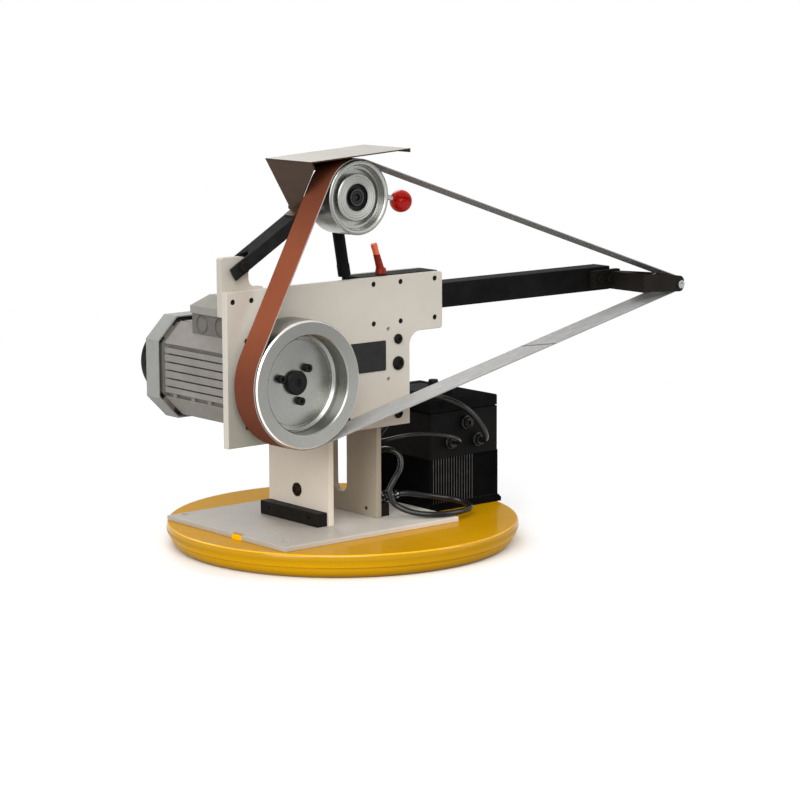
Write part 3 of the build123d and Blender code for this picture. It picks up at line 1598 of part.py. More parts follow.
def supply_route():
    """From the lower right gland up over the lid, down beside the upright and round to the connector."""
    gx, gy, gz = gland_spots()[1]
    gy -= gland_length
    side = upright_right_x + upright_thickness
    cx, cy, cz = connector_place()
    cx += connector_length
    top = inverter_top + supply_lead_diameter / 2
    floor = base_top + supply_lead_diameter / 2
    left, front = inverter_x, inverter_front
    return [
        (gx, gy + lead_entry, gz), (gx, gy - 8, gz), (gx - 4, gy - 17, gz + 8), (gx - 13, gy - 19, gz + 24),
        (gx - 28, gy - 16, top - 29), (gx - 47, gy - 11, top - 12), (left + 32, front - 14, top - 1),
        (left + 14, front + 5, top + 7), (left - 8, front + 28, top),
        (side + 79, plate_back + 52, gz + 52), (side + 57, plate_back + 65, gz + 23),
        (side + 34, plate_back + 61, gz + 3), (side + 23, plate_back + 39, gz - 2),
        (side + 30, plate_back + 18, gz + 3), (side + 42, plate_back + 3, gz - 6),
        (side + 38, plate_back - 4, gz - 26), (side + 22, plate_back - 7, gz - 42),
        (side + 12, plate_back - 5, cz + 15.5), (side + 12, plate_back - 6, floor + 27),
        (side + 19, plate_back - 11, floor + 15), (side + 28, plate_back - 24, floor + 8),
        (side + 38, plate_back - 40, floor + 3.5), (side + 54, plate_back - 55, floor + 1.5),
        (side + 75, plate_back - 64, floor + 0.8), (side + 100, plate_back - 66, floor + 0.5),
        (left + 12, front - 70, floor + 0.4), (left + 30, front - 64, floor + 0.7),
        (left + 45, front - 49, floor + 2.2), (left + 45, front - 28, floor + 5.5),
        (left + 30, front - 14, floor + 9.5), (left + 9, front - 12, floor + 14),
        (left - 12, front - 9, cz - 8), (cx + 31.5, cy - 7, cz - 3),
        (cx + 14, cy, cz), (cx - lead_entry, cy, cz),
    ]


def lead(name, points, diameter):
    """A round lead along a route: each arc is as large as its two runs allow."""
    spots = [Vector(*point) for point in points]
    radii = []
    for before, here, after in zip(spots, spots[1:], spots[2:]):
        turn = math.radians((here - before).get_angle(after - here))
        shorter = min((here - before).length, (after - here).length)
        radii.append(lead_arc_share * shorter / math.tan(turn / 2))
    path = FilletPolyline(*spots, radius=radii)
    section = Plane(origin=path @ 0, z_dir=path % 0) * Circle(diameter / 2)
    tube = sweep(section, path=path)
    share = tube.volume / (math.pi * (diameter / 2) ** 2 * path.length)
    rounded = [round(radius) for radius in radii]
    print(name, "length", round(path.length), "volume share", round(share, 4), "radii", rounded)
    return tube


def supply_connector():
    """A screwed round connector on the end of the supply lead, with two bright coupling rings."""
    bore = supply_lead_diameter / 2 + lead_fit
    r = connector_radius
    edge = r - connector_break
    waist = r - connector_groove
    length = connector_length
    inner = length - connector_bore_depth
    groove_start, groove_end, ring_end, boot_start, boot_end = connector_steps
    body = turned([
        (0, 0), (edge, 0), (r, connector_break), (r, groove_start), (waist, groove_start),
        (waist, groove_end), (r, groove_end), (r, ring_end), (edge, boot_start), (edge, boot_end),
        (edge - connector_groove, length), (bore, length), (bore, inner), (0, inner),
    ], 0, 0)
    return along_x(body, *connector_place())


receiver_top_bar, receiver_bottom_bar, receiver_back_plate = receiver_parts()

pieces = {
    "round_base": round_base(),
    "base_plate": base_plate(),
    "upright_left": upright(upright_left_x, False),
    "upright_right": upright(upright_right_x, True),
    "foot_bars": foot_bars(),
    "plate_angles": plate_angles(),
    "main_plate": main_plate(),
    "nameplate": nameplate(),
    "ear_plate": ear_plate(),
    "receiver_top_bar": receiver_top_bar,
    "receiver_bottom_bar": receiver_bottom_bar,
    "receiver_back_plate": receiver_back_plate,
    "frame_screws": frame_screws(),
    "frame_bolts": frame_bolts(),
    "strut_stud": strut_stud(),
    "motor_front_shield": motor_front_shield(),
    "motor_body": motor_body(),
    "motor_rear_shield": motor_rear_shield(),
    "motor_bearings": motor_bearings(),
    "stator": stator(),
    "fan_cowl": fan_cowl(),
    "fan_grille": fan_grille(),
    "terminal_box": terminal_box(),
    "terminal_lid": terminal_lid(),
    "inverter_base": inverter_base(),
    "inverter_case": inverter_case(),
    "inverter_lid": inverter_lid(),
    "inverter_keypad": inverter_keypad(),
    "cable_glands": cable_glands(),
    "motor_lead": lead("motor_lead", motor_route(), motor_lead_diameter),
    "supply_lead": lead("supply_lead", supply_route(), supply_lead_diameter),
    "supply_connector": supply_connector(),
    "abrasive_belt": abrasive_belt(),
    "motor_shaft": motor_shaft(),
    "rotor_core": rotor_core(),
    "cooling_fan": cooling_fan(),
    "drive_hub": drive_hub(),
    "drive_wheel": drive_wheel(),
    "hub_cap": hub_cap(),
    "hub_screws": hub_screws(),
    "tension_arm": tension_arm(),
    "roof_guard": roof_guard(),
    "handle_rod": handle_rod(),
    "handle_knob": handle_knob(),
    "tracking_pin": tracking_pin(),
    "tracking_block": tracking_block(),
    "upper_axle": upper_axle(),
    "tracking_knob": tracking_knob(),
    "upper_wheel": upper_wheel(),
    "upper_bearings": upper_bearings(),
    "strut_cylinder": strut_cylinder(),
    "strut_rod": strut_rod(),
    "tool_arm": tool_arm(),
    "tip_fork": tip_fork(),
    "fork_screws": fork_screws(),
    "tip_axle": tip_axle(),
    "tip_wheel": tip_wheel(),
    "tip_bearings": tip_bearings(),
    "clamp_lever": clamp_lever(),
    "speed_knob": speed_knob(),
}

os.makedirs("parts", exist_ok=True)
for name, piece in pieces.items():
    shape = Compound(children=piece) if isinstance(piece, list) else piece
    export_step(shape, f"parts/{name}.step")
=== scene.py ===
import math

import bmesh
import bpy
from mathutils import Matrix, Vector


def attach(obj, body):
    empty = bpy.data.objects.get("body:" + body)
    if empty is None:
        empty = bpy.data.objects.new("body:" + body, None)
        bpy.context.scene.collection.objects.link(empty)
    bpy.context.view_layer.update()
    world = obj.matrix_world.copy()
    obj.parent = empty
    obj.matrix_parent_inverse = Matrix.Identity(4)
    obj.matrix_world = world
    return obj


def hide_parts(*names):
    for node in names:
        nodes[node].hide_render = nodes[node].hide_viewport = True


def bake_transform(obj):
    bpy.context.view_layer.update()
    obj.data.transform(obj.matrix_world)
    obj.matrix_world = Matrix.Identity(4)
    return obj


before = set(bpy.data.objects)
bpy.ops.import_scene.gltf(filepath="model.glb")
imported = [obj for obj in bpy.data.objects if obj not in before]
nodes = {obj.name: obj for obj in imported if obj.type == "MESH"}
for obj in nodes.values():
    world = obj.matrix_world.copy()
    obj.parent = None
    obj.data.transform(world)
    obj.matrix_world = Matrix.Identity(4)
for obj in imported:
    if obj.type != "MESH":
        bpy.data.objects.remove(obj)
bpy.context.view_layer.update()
scene = bpy.context.scene

# Camera at the photograph's viewpoint; the picture is 800 by 800
picture_width = 800
focal_length = 2632.56
camera_place = Vector((-2.5932, -3.2899, 0.9231))
camera_heading = math.radians(39.53)
camera_tilt = math.radians(9.39)
camera_roll = math.radians(-0.25)


def make_camera():
    """A plain camera at the photograph's viewpoint, made the scene's own."""
    forward = Vector((
        math.sin(camera_heading) * math.cos(camera_tilt),
        math.cos(camera_heading) * math.cos(camera_tilt),
        -math.sin(camera_tilt),
    ))
    level = Vector((math.cos(camera_heading), -math.sin(camera_heading), 0.0))
    right = math.cos(camera_roll) * level + math.sin(camera_roll) * level.cross(forward)
    up = right.cross(forward)
    data = bpy.data.cameras.new("camera")
    data.sensor_width = 36.0
    data.lens = focal_length * data.sensor_width / picture_width
    data.clip_start = 0.1
    data.clip_end = 200.0
    camera = bpy.data.objects.new("camera", data)
    scene.collection.objects.link(camera)
    camera.matrix_world = Matrix((
        (right.x, up.x, -forward.x, camera_place.x),
        (right.y, up.y, -forward.y, camera_place.y),
        (right.z, up.z, -forward.z, camera_place.z),
        (0.0, 0.0, 0.0, 1.0),
    ))
    scene.camera = camera


# Leads: the control points of each route, from gland to far end
motor_lead_diameter = 0.0065
supply_lead_diameter = 0.0095
motor_route = [
    (0.1660, -0.0800, 0.1530), (0.1660, -0.0960, 0.1530), (0.1580, -0.1090, 0.1620),
    (0.1380, -0.1140, 0.1700), (0.1100, -0.1070, 0.1760), (0.0770, -0.0950, 0.1790),
    (0.0510, -0.0830, 0.1760), (0.0330, -0.0620, 0.1680), (0.0310, -0.0350, 0.1670),
    (0.0310, 0.0005, 0.1810), (0.0050, 0.0255, 0.1990), (-0.0210, 0.0325, 0.2250),
    (-0.0400, 0.0260, 0.2600), (-0.0460, 0.0200, 0.3020), (-0.0530, 0.0180, 0.3400),
    (-0.0700, 0.0170, 0.3640), (-0.0960, 0.0160, 0.3720), (-0.1210, 0.0160, 0.3720),
]
supply_route = [
    (0.2250, -0.0800, 0.1510), (0.2250, -0.0930, 0.1510), (0.2210, -0.1020, 0.1590),
    (0.2120, -0.1040, 0.1750), (0.1970, -0.1010, 0.1958), (0.1780, -0.0960, 0.2127),
    (0.1590, -0.0840, 0.2238), (0.1410, -0.0650, 0.2318), (0.1190, -0.0420, 0.2248),
    (0.0980, -0.0250, 0.2030), (0.0760, -0.0120, 0.1740), (0.0530, -0.0160, 0.1540),
    (0.0420, -0.0380, 0.1490), (0.0490, -0.0590, 0.1540), (0.0610, -0.0740, 0.1450),
    (0.0570, -0.0810, 0.1250), (0.0410, -0.0840, 0.1090), (0.0310, -0.0820, 0.0938),
    (0.0310, -0.0830, 0.0788), (0.0380, -0.0880, 0.0668), (0.0470, -0.1010, 0.0597),
    (0.0570, -0.1170, 0.0553), (0.0730, -0.1320, 0.0532), (0.0940, -0.1410, 0.0525),
    (0.1190, -0.1430, 0.0522), (0.1390, -0.1400, 0.0522), (0.1570, -0.1340, 0.0525),
    (0.1720, -0.1190, 0.0540), (0.1720, -0.0980, 0.0573), (0.1570, -0.0840, 0.0612),
    (0.1360, -0.0820, 0.0658), (0.1150, -0.0790, 0.0703), (0.0940, -0.0710, 0.0753),
    (0.0765, -0.0640, 0.0783), (0.0575, -0.0640, 0.0783),
]


def make_lead(name, route, diameter):
    """A round lead along a route, which it follows as a smooth curve."""
    data = bpy.data.curves.new(name, "CURVE")
    data.dimensions = "3D"
    data.bevel_depth = 1.0
    data.bevel_resolution = 5
    data.resolution_u = 12
    data.use_fill_caps = True
    spline = data.splines.new("NURBS")
    spline.points.add(len(route) - 1)
    for point, place in zip(spline.points, route):
        point.co = (*place, 1.0)
        point.radius = diameter / 2
    spline.order_u = 3
    spline.use_endpoint_u = True
    lead = bpy.data.objects.new(name, data)
    scene.collection.objects.link(lead)
    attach(lead, "frame")
    return lead


class Graph:
    """A node material under construction: the shader, and short ways to add what feeds it."""

    def __init__(self, name):
        self.material = bpy.data.materials.new(name)
        self.material.use_nodes = True
        self.tree = self.material.node_tree
        self.shader = self.tree.nodes["Principled BSDF"]
        self.place = self.add("ShaderNodeTexCoord").outputs["Object"]

    def add(self, kind, **settings):
        """A new node, with its settings."""
        node = self.tree.nodes.new(kind)
        for key, value in settings.items():
            setattr(node, key, value)
        return node

    def feed(self, node, **values):
        """Sets or links a node's inputs by name, with _ for a space."""
        for key, value in values.items():
            self.plug(node.inputs[key.replace("_", " ")], value)

    def plug(self, socket, value):
        """Links a socket to another socket, or sets it to a number or colour."""
        if isinstance(value, bpy.types.NodeSocket):
            self.tree.links.new(value, socket)
        elif socket.type == "RGBA" and len(value) == 3:
            socket.default_value = (*value, 1.0)
        else:
            socket.default_value = value

    def vector(self, kind, first, second):
        """A vector sum, product or other operation."""
        node = self.add("ShaderNodeVectorMath", operation=kind)
        self.plug(node.inputs[0], first)
        self.plug(node.inputs[1], second)
        return node.outputs["Value" if kind == "DOT_PRODUCT" else "Vector"]

    def length(self, vector):
        """How long a vector is."""
        node = self.add("ShaderNodeVectorMath", operation="LENGTH")
        self.plug(node.inputs[0], vector)
        return node.outputs["Value"]

    def stretched(self, scale, shift=(0, 0, 0)):
        """The place in the object, shifted and then scaled along each axis."""
        return self.vector("MULTIPLY", self.vector("SUBTRACT", self.place, shift), scale)

    def axis(self, name):
        """One coordinate of the place in the object."""
        split = self.add("ShaderNodeSeparateXYZ")
        self.plug(split.inputs[0], self.place)
        return split.outputs[name]

    def facing(self, name):
        """One part of the direction that the surface looks in."""
        split = self.add("ShaderNodeSeparateXYZ")
        self.plug(split.inputs[0], self.add("ShaderNodeTexCoord").outputs["Normal"])
        return split.outputs[name]

    def within(self, name, low, high, blur=0.0002):
        """1 where one coordinate lies between two values, 0 outside them."""
        above = self.past(self.axis(name), low, blur)
        below = self.short_of(self.axis(name), high, blur)
        return self.product(above, below)

    def noise(self, scale, detail=3.0, rough=0.6, place=None):
        """Cloudy noise over the place in the object."""
        node = self.add("ShaderNodeTexNoise")
        self.feed(node, Vector=place or self.place, Scale=scale, Detail=detail, Roughness=rough)
        return node.outputs["Fac"]

    def rings(self, distance, scale, detail=3.0):
        """Noise that changes only with a distance."""
        node = self.add("ShaderNodeTexNoise", noise_dimensions="1D")
        self.feed(node, W=distance, Scale=scale, Detail=detail, Roughness=0.7)
        return node.outputs["Fac"]

    def spread(self, value, low, high, from_low=0.3, from_high=0.7):
        """A value moved from one range to another."""
        node = self.add("ShaderNodeMapRange")
        self.feed(node, Value=value, From_Min=from_low, From_Max=from_high, To_Min=low, To_Max=high)
        return node.outputs["Result"]

    def past(self, value, place, blur):
        """0 below a place and 1 past it, with a soft change over the blur on each side."""
        return self.spread(value, 0.0, 1.0, place - blur, place + blur)

    def short_of(self, value, place, blur):
        """1 below a place and 0 past it, with a soft change over the blur on each side."""
        return self.spread(value, 1.0, 0.0, place - blur, place + blur)

    def colours(self, value, dark, light, low=0.3, high=0.7):
        """A colour that runs from dark to light with a value."""
        node = self.add("ShaderNodeValToRGB")
        ends = node.color_ramp.elements
        ends[0].position, ends[0].color = low, (*dark, 1.0)
        ends[1].position, ends[1].color = high, (*light, 1.0)
        self.feed(node, Fac=value)
        return node.outputs["Color"]

    def greys(self, value, stops):
        """A grey that runs through several stops, each a place from 0 to 1 and a tone."""
        node = self.add("ShaderNodeValToRGB")
        ends = node.color_ramp.elements
        while len(ends) < len(stops):
            ends.new(0.5)
        for end, (place, tone) in zip(ends, stops):
            end.position = place
            end.color = (tone, tone, tone, 1.0)
        self.feed(node, Fac=value)
        return node.outputs["Color"]

    def mixed(self, share, first, second, kind="MIX"):
        """Two colours mixed by a share."""
        node = self.add("ShaderNodeMix", data_type="RGBA", blend_type=kind)
        for socket, value in ((node.inputs[0], share), (node.inputs[6], first), (node.inputs[7], second)):
            self.plug(socket, value)
        return node.outputs[2]

    def combine(self, first, second=0.0, kind="ADD"):
        """Two numbers added, or put together by another operation; some operations use only the first."""
        node = self.add("ShaderNodeMath", operation=kind)
        self.plug(node.inputs[0], first)
        self.plug(node.inputs[1], second)
        return node.outputs[0]

    def product(self, first, *others):
        """Several numbers multiplied together."""
        for other in others:
            first = self.combine(first, other, "MULTIPLY")
        return first

    def apart(self, first, second):
        """How far apart two numbers are."""
        return self.combine(self.combine(first, second, "SUBTRACT"), kind="ABSOLUTE")

    def bump(self, height, depth, normal=None):
        """Relief of a height from 0 to 1 over a real depth in metres."""
        node = self.add("ShaderNodeBump")
        self.feed(node, Height=height, Distance=depth)
        if normal:
            self.feed(node, Normal=normal)
        return node.outputs["Normal"]

    def soft_edge(self, radius):
        """The surface's direction with its edges rounded off, and how near an edge is, from 0 to 1."""
        bevel = self.add("ShaderNodeBevel", samples=4)
        self.feed(bevel, Radius=radius)
        plain = self.add("ShaderNodeNewGeometry").outputs["Normal"]
        same = self.vector("DOT_PRODUCT", bevel.outputs["Normal"], plain)
        return bevel.outputs["Normal"], self.spread(same, 1.0, 0.0, 0.80, 0.985)


# How far the edges are rounded off in most materials
edge_radius = 0.0007


def surface(name, dark, light, rough, patch, grain, depth, stretch=(1, 1, 1), worn=None, **fixed):
    """A material with cloudy colour, uneven gloss, fine relief and softened, worn edges.

    worn is the colour along the edges; fixed holds the shader's plain numbers.
    """
    graph = Graph(name)
    place = graph.stretched(stretch)
    rounded, near_edge = graph.soft_edge(edge_radius)
    colour = graph.colours(graph.noise(patch, 4.0, 0.65, place), dark, light)
    if worn:
        patches = graph.spread(graph.noise(patch * 9.0, 3.0, 0.7), 0.1, 0.85)
        colour = graph.mixed(graph.product(near_edge, patches), colour, worn)
    graph.feed(
        graph.shader,
        Base_Color=colour,
        Roughness=graph.spread(graph.noise(patch * 6.0, 4.0, 0.7, place), *rough),
        Normal=graph.bump(graph.noise(grain, 2.0, 0.5, place), depth, rounded),
    )
    graph.feed(graph.shader, **fixed)
    return graph.material


# Turned metal: its tint, the side where its painted sheen is brightest as an angle in X and Z, and the noise
# scales of its rings
metal_tint = (1.0, 1.0, 0.94)
sheen_angle = math.radians(285.0)
fine_rings = 900.0
broad_rings = 260.0


def tinted(tone):
    """The metal's tint at a tone."""
    return tuple(min(1.0, tone * share) for share in metal_tint)


def turned_metal(name, centre, tone, fan=0.14, streak=0.35, brushed=0.7, bands=0.0, glint_radius=None):
    """Metal turned about a Y axis: fine rings about the centre, and a painted sheen that makes one side
    brighter than the other.

    bands is how dark the broader rings are; lip is the radius beyond which the near edge gets a painted
    highlight.
    """
    graph = Graph(name)
    arm = graph.stretched((1, 0, 1), (centre[0], 0, centre[1]))
    radius = graph.length(arm)
    rings = graph.rings(radius, fine_rings)
    smears = graph.noise(30.0, 4.0, 0.7)
    split = graph.add("ShaderNodeSeparateXYZ")
    graph.plug(split.inputs[0], arm)
    angle = graph.combine(split.outputs["Z"], split.outputs["X"], "ARCTAN2")
    around = graph.combine(graph.combine(angle, sheen_angle, "SUBTRACT"), kind="COSINE")
    # Painted sheen: brighter towards one side of the axis, darker towards the other
    painted_sheen = graph.product(around, graph.spread(smears, 0.8, 1.2))
    light = tinted(tone * (1.0 + fan))
    dark = tinted(tone * (1.0 - fan))
    worn = tinted(tone * 1.8)
    groove = tinted(tone * 0.2)
    rounded, near_edge = graph.soft_edge(edge_radius)
    colour = graph.colours(graph.spread(painted_sheen, 0.0, 1.0, -1.0, 1.0), dark, light, 0.0, 1.0)
    colour = graph.mixed(graph.spread(rings, 0.0, streak, 0.35, 0.75), colour, worn)
    broad = graph.spread(graph.rings(radius, broad_rings, 1.0), bands, 0.0, 0.36, 0.54)
    colour = graph.mixed(broad, colour, groove)
    # Painted highlight along the near edge, beyond the given radius
    if glint_radius:
        outer = graph.past(radius, glint_radius, 0.0005)
        near = graph.short_of(graph.axis("Y"), belt_near, 0.0003)
        colour = graph.mixed(graph.product(outer, near), colour, (0.97, 0.92, 0.88))
    tangent = graph.add("ShaderNodeTangent", direction_type="RADIAL", axis="Y")
    graph.feed(
        graph.shader,
        Base_Color=graph.mixed(graph.product(near_edge, 0.6), colour, worn),
        Roughness=graph.spread(graph.product(rings, smears), 0.24, 0.38, 0.1, 0.5),
        Normal=graph.bump(rings, 0.00002, rounded),
        Tangent=tangent.outputs["Tangent"],
        Metallic=1.0,
        Anisotropic=brushed,
    )
    return graph.material


# The height above which the guard's sheet is its roof
guard_roof = 0.602


def guard_sheet():
    """Folded sheet: pale on its roof, darker along the roof's edges as painted shade, and painted dark brown
    everywhere else as painted shade.
    """
    graph = Graph("sheet_grey")
    rounded, near_edge = graph.soft_edge(edge_radius)
    level = graph.spread(graph.facing("Z"), 0.0, 1.0, 0.7, 0.9)
    on_top = graph.product(level, graph.past(graph.axis("Z"), guard_roof, 0.002))
    cloud = graph.noise(16.0, 4.0, 0.65, graph.stretched((1, 0.2, 1)))
    top = graph.colours(cloud, (0.44, 0.415, 0.38), (0.505, 0.48, 0.445))
    # Painted shade along the roof's edges and lip
    top = graph.mixed(graph.product(near_edge, 0.5), top, (0.2, 0.17, 0.14))
    # Every face off the roof is painted dark brown as painted shade
    side = graph.colours(cloud, (0.042, 0.022, 0.012), (0.066, 0.038, 0.022))
    graph.feed(
        graph.shader,
        Base_Color=graph.mixed(on_top, side, top),
        Roughness=graph.spread(graph.noise(90.0), 0.34, 0.48),
        Normal=graph.bump(graph.noise(1100.0), 0.00005, rounded),
        Specular_IOR_Level=0.08,
    )
    return graph.material


def ball_gloss():
    """Smooth red moulding under a clear shine."""
    graph = Graph("red_ball")
    graph.feed(
        graph.shader,
        Base_Color=graph.colours(graph.noise(30.0), (0.55, 0.006, 0.003), (0.63, 0.010, 0.005)),
        Roughness=graph.spread(graph.noise(60.0), 0.18, 0.26),
        Normal=graph.bump(graph.noise(45.0), 0.00002),
        Specular_IOR_Level=0.06,
        Coat_Weight=0.35,
        Coat_Roughness=0.05,
        Coat_IOR=1.4,
    )
    return graph.material


def ringed_black():
    """Black bearing seals and axle end with faint paler turning rings about the upper axle."""
    graph = Graph("ringed_black")
    radius = graph.length(graph.stretched((1, 0, 1), (upper_axis[0], 0, upper_axis[1])))
    lines = graph.rings(radius, 620.0, 1.0)
    graph.feed(
        graph.shader,
        Base_Color=graph.colours(lines, (0.005, 0.005, 0.005), (0.085, 0.085, 0.082), 0.52, 0.66),
        Roughness=graph.spread(graph.noise(120.0), 0.32, 0.46),
        Normal=graph.bump(lines, 0.00004),
        Specular_IOR_Level=0.08,
    )
    return graph.material


def connector_pins():
    """Dark moulding with small bright contacts showing through it."""
    graph = Graph("connector_dark")
    specks = graph.spread(graph.noise(330.0, 1.0, 0.4), 0.0, 1.0, 0.60, 0.64)
    graph.feed(
        graph.shader,
        Base_Color=graph.mixed(specks, (0.006, 0.006, 0.006), (0.55, 0.55, 0.53)),
        Metallic=specks,
        Roughness=graph.spread(graph.noise(200.0), 0.28, 0.42),
        Normal=graph.bump(specks, 0.0001),
        Specular_IOR_Level=0.08,
    )
    return graph.material


# Wheel centres in X and Z, wheel radii, and the belt's own sizes
drive_axis = (-0.1870, 0.2935)
upper_axis = (-0.08585, 0.57262)
tip_axis = (0.6030, 0.3857)
belt_middle = -0.1285
belt_width = 0.050
belt_near = belt_middle - belt_width / 2
belt_thickness = 0.0013
belt_gap = 0.0003
wheel_crown = 0.0005
drive_radius = 0.099
upper_radius = 0.0575
tip_radius = 0.0125
# The radius beyond which the drive wheel's near edge gets a painted highlight
drive_glint_radius = 0.0968

# Where the belt is cut in two along X, its rough step, the height at which it grinds, away from which the
# grit gets painted shade, and its glued joint
belt_split = 0.270
belt_step = 0.008
grind_height = 0.440
splice_past_split = 0.0415
splice_slant = 0.614
splice_half = 0.0024


def belt_line():
    """The middle of the belt's thickness as a closed run of (x, z, outward x, outward z)."""
    offset = belt_gap + belt_thickness / 2
    wheels = [
        (*drive_axis, drive_radius + wheel_crown + offset),
        (*tip_axis, tip_radius + offset),
        (*upper_axis, upper_radius + wheel_crown + offset),
    ]
    headings = []
    for (x0, z0, r0), (x1, z1, r1) in zip(wheels, wheels[1:] + wheels[:1]):
        lean = math.asin((r0 - r1) / math.hypot(x1 - x0, z1 - z0))
        headings.append(math.atan2(z1 - z0, x1 - x0) + lean)
    line = []
    for i, (x, z, radius) in enumerate(wheels):
        turn = (headings[i] - headings[i - 1]) % (2 * math.pi)
        steps = max(8, int(turn * radius / belt_step))
        for k in range(steps + 1):
            angle = headings[i - 1] + turn * k / steps
            out = (math.sin(angle), -math.cos(angle))
            line.append((x + radius * out[0], z + radius * out[1], *out))
        x1, z1, r1 = wheels[(i + 1) % 3]
        out = (math.sin(headings[i]), -math.cos(headings[i]))
        start = Vector((x + radius * out[0], z + radius * out[1]))
        end = Vector((x1 + r1 * out[0], z1 + r1 * out[1]))
        count = int((end - start).length / belt_step)
        for k in range(1, count):
            line.append((*start.lerp(end, k / count), *out))
    return line


def split_line(line):
    """The belt's run cut where it crosses the split plane: one open run to its left, one to its right."""
    count = len(line)
    crossings = []
    for i in range(count):
        a, b = line[i], line[(i + 1) % count]
        if (a[0] - belt_split) * (b[0] - belt_split) < 0:
            share = (belt_split - a[0]) / (b[0] - a[0])
            crossings.append((i, tuple(p + (q - p) * share for p, q in zip(a, b))))
    (i, first), (k, second) = crossings
    right = [first] + line[i + 1:k + 1] + [second]
    left = [second] + line[k + 1:] + line[:i + 1] + [first]
    return left, right


def run_lengths(line, start):
    """The distance along a run at each of its points."""
    lengths = [start]
    for a, b in zip(line, line[1:]):
        lengths.append(lengths[-1] + math.hypot(b[0] - a[0], b[1] - a[1]))
    return lengths


def make_belt(name, line, lengths, materials):
    """One open stretch of belt: grit outside, cloth inside, with the distance along it kept for the cloth."""
    mesh = bpy.data.meshes.new(name)
    build = bmesh.new()
    along = build.verts.layers.float.new("along")
    columns = 6
    half = belt_thickness / 2
    rows = []
    for (x, z, out_x, out_z), length in zip(line, lengths):
        row = []
        for side in (half, -half):
            for c in range(columns + 1):
                y = belt_near + belt_width * c / columns
                vert = build.verts.new((x + out_x * side, y, z + out_z * side))
                vert[along] = length
                row.append(vert)
        rows.append(row)
    second = columns + 1
    for a, b in zip(rows, rows[1:]):
        for c in range(columns):
            face = build.faces.new((a[c], a[c + 1], b[c + 1], b[c]))
            face.material_index = 0
            face = build.faces.new((a[second + c], b[second + c], b[second + c + 1], a[second + c + 1]))
            face.material_index = 1
        for c in (0, columns):
            face = build.faces.new((a[c], b[c], b[second + c], a[second + c]))
            face.material_index = 1
    bmesh.ops.recalc_face_normals(build, faces=build.faces)
    build.to_mesh(mesh)
    build.free()
    for polygon in mesh.polygons:
        polygon.use_smooth = abs(polygon.normal.y) < 0.5
    for material in materials:
        mesh.materials.append(material)
    mesh.set_sharp_from_angle(angle=math.radians(40))
    belt = bpy.data.objects.new(name, mesh)
    scene.collection.objects.link(belt)
    return belt


def abrasive_grit():
    """Red-brown grit, painted darker as painted shade above and below the grinding height, with cloth showing
    along its near edge.
    """
    graph = Graph("abrasive_grit")
    grit = graph.noise(2600.0, 2.0, 0.7)
    cloud = graph.noise(9.0, 4.0, 0.7)
    colour = graph.colours(grit, (0.150, 0.037, 0.016), (0.30, 0.084, 0.038))
    colour = graph.mixed(graph.spread(cloud, 0.0, 0.3), colour, (0.31, 0.098, 0.048))
    # Painted shade: the grit darkens away from the grinding height
    away = graph.apart(graph.axis("Z"), grind_height)
    grit_shade = graph.spread(away, 0.0, 0.38, 0.05, 0.13)
    colour = graph.mixed(grit_shade, colour, (0.0, 0.0, 0.0))
    near = graph.combine(belt_middle, graph.axis("Y"), "SUBTRACT")
    edge = graph.spread(near, 0.0, 0.75, belt_width / 2 - 0.0011, belt_width / 2 - 0.0004)
    graph.feed(
        graph.shader,
        Base_Color=graph.mixed(edge, colour, (0.62, 0.52, 0.44)),
        Roughness=graph.spread(grit, 0.62, 0.85),
        Normal=graph.bump(grit, 0.00022),
        Specular_IOR_Level=0.12,
    )
    return graph.material


def belt_cloth(splice):
    """Pale twill backing with lengthwise streaks, painted darker as painted shade where it looks down, and a
    dark glued joint.
    """
    graph = Graph("belt_cloth")
    along = graph.add("ShaderNodeAttribute", attribute_name="along").outputs["Fac"]
    across = graph.combine(graph.axis("Y"), belt_middle, "SUBTRACT")
    joined = graph.add("ShaderNodeCombineXYZ")
    graph.feed(joined, X=along, Y=across)
    flat = joined.outputs[0]
    weave = graph.add("ShaderNodeTexWave", bands_direction="DIAGONAL")
    graph.feed(weave, Vector=flat, Scale=420.0, Distortion=1.5, Detail=2.0, Detail_Scale=1.5)
    streaks = graph.noise(240.0, 4.0, 0.7, graph.vector("MULTIPLY", flat, (0.12, 1.0, 1.0)))
    specks = graph.noise(520.0, 3.0, 0.75, graph.vector("MULTIPLY", flat, (0.45, 1.0, 1.0)))
    cloth = graph.colours(streaks, (0.38, 0.376, 0.368), (0.58, 0.576, 0.563))
    cloth = graph.mixed(graph.spread(specks, 0.0, 0.5, 0.42, 0.72), cloth, (0.27, 0.27, 0.265))
    off_middle = graph.apart(graph.axis("Y"), belt_middle)
    edge = graph.spread(off_middle, 0.0, 0.6, belt_width / 2 - 0.0018, belt_width / 2 - 0.0006)
    cloth = graph.mixed(edge, cloth, (0.24, 0.235, 0.225))
    # Painted shade where the cloth looks down
    cloth = graph.mixed(graph.spread(graph.facing("Z"), 0.6, 0.0, -0.3, 0.1), cloth, (0.07, 0.055, 0.05))
    slant = graph.combine(graph.product(across, splice_slant), along)
    joint = graph.spread(graph.apart(slant, splice), 0.9, 0.0, splice_half * 0.7, splice_half * 1.3)
    graph.feed(
        graph.shader,
        Base_Color=graph.mixed(joint, cloth, (0.095, 0.075, 0.072)),
        Roughness=graph.spread(weave.outputs["Fac"], 0.7, 0.9, 0.0, 1.0),
        Normal=graph.bump(weave.outputs["Fac"], 0.00012),
        Specular_IOR_Level=0.3,
    )
    return graph.material


def make_belts():
    """The belt in two stretches, cut at the split: one on the tension arm's side, the other on the tool arm's
    side.
    """
    left, right = split_line(belt_line())
    left_lengths = run_lengths(left, 0.0)
    right_lengths = run_lengths(right, left_lengths[-1])
    materials = (abrasive_grit(), belt_cloth(left_lengths[-1] + splice_past_split))
    first = make_belt("belt_left", left, left_lengths, materials)
    second = make_belt("belt_right", right, right_lengths, materials)
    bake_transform(first)
    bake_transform(second)
    for belt in (first, second):
        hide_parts("abrasive_belt")
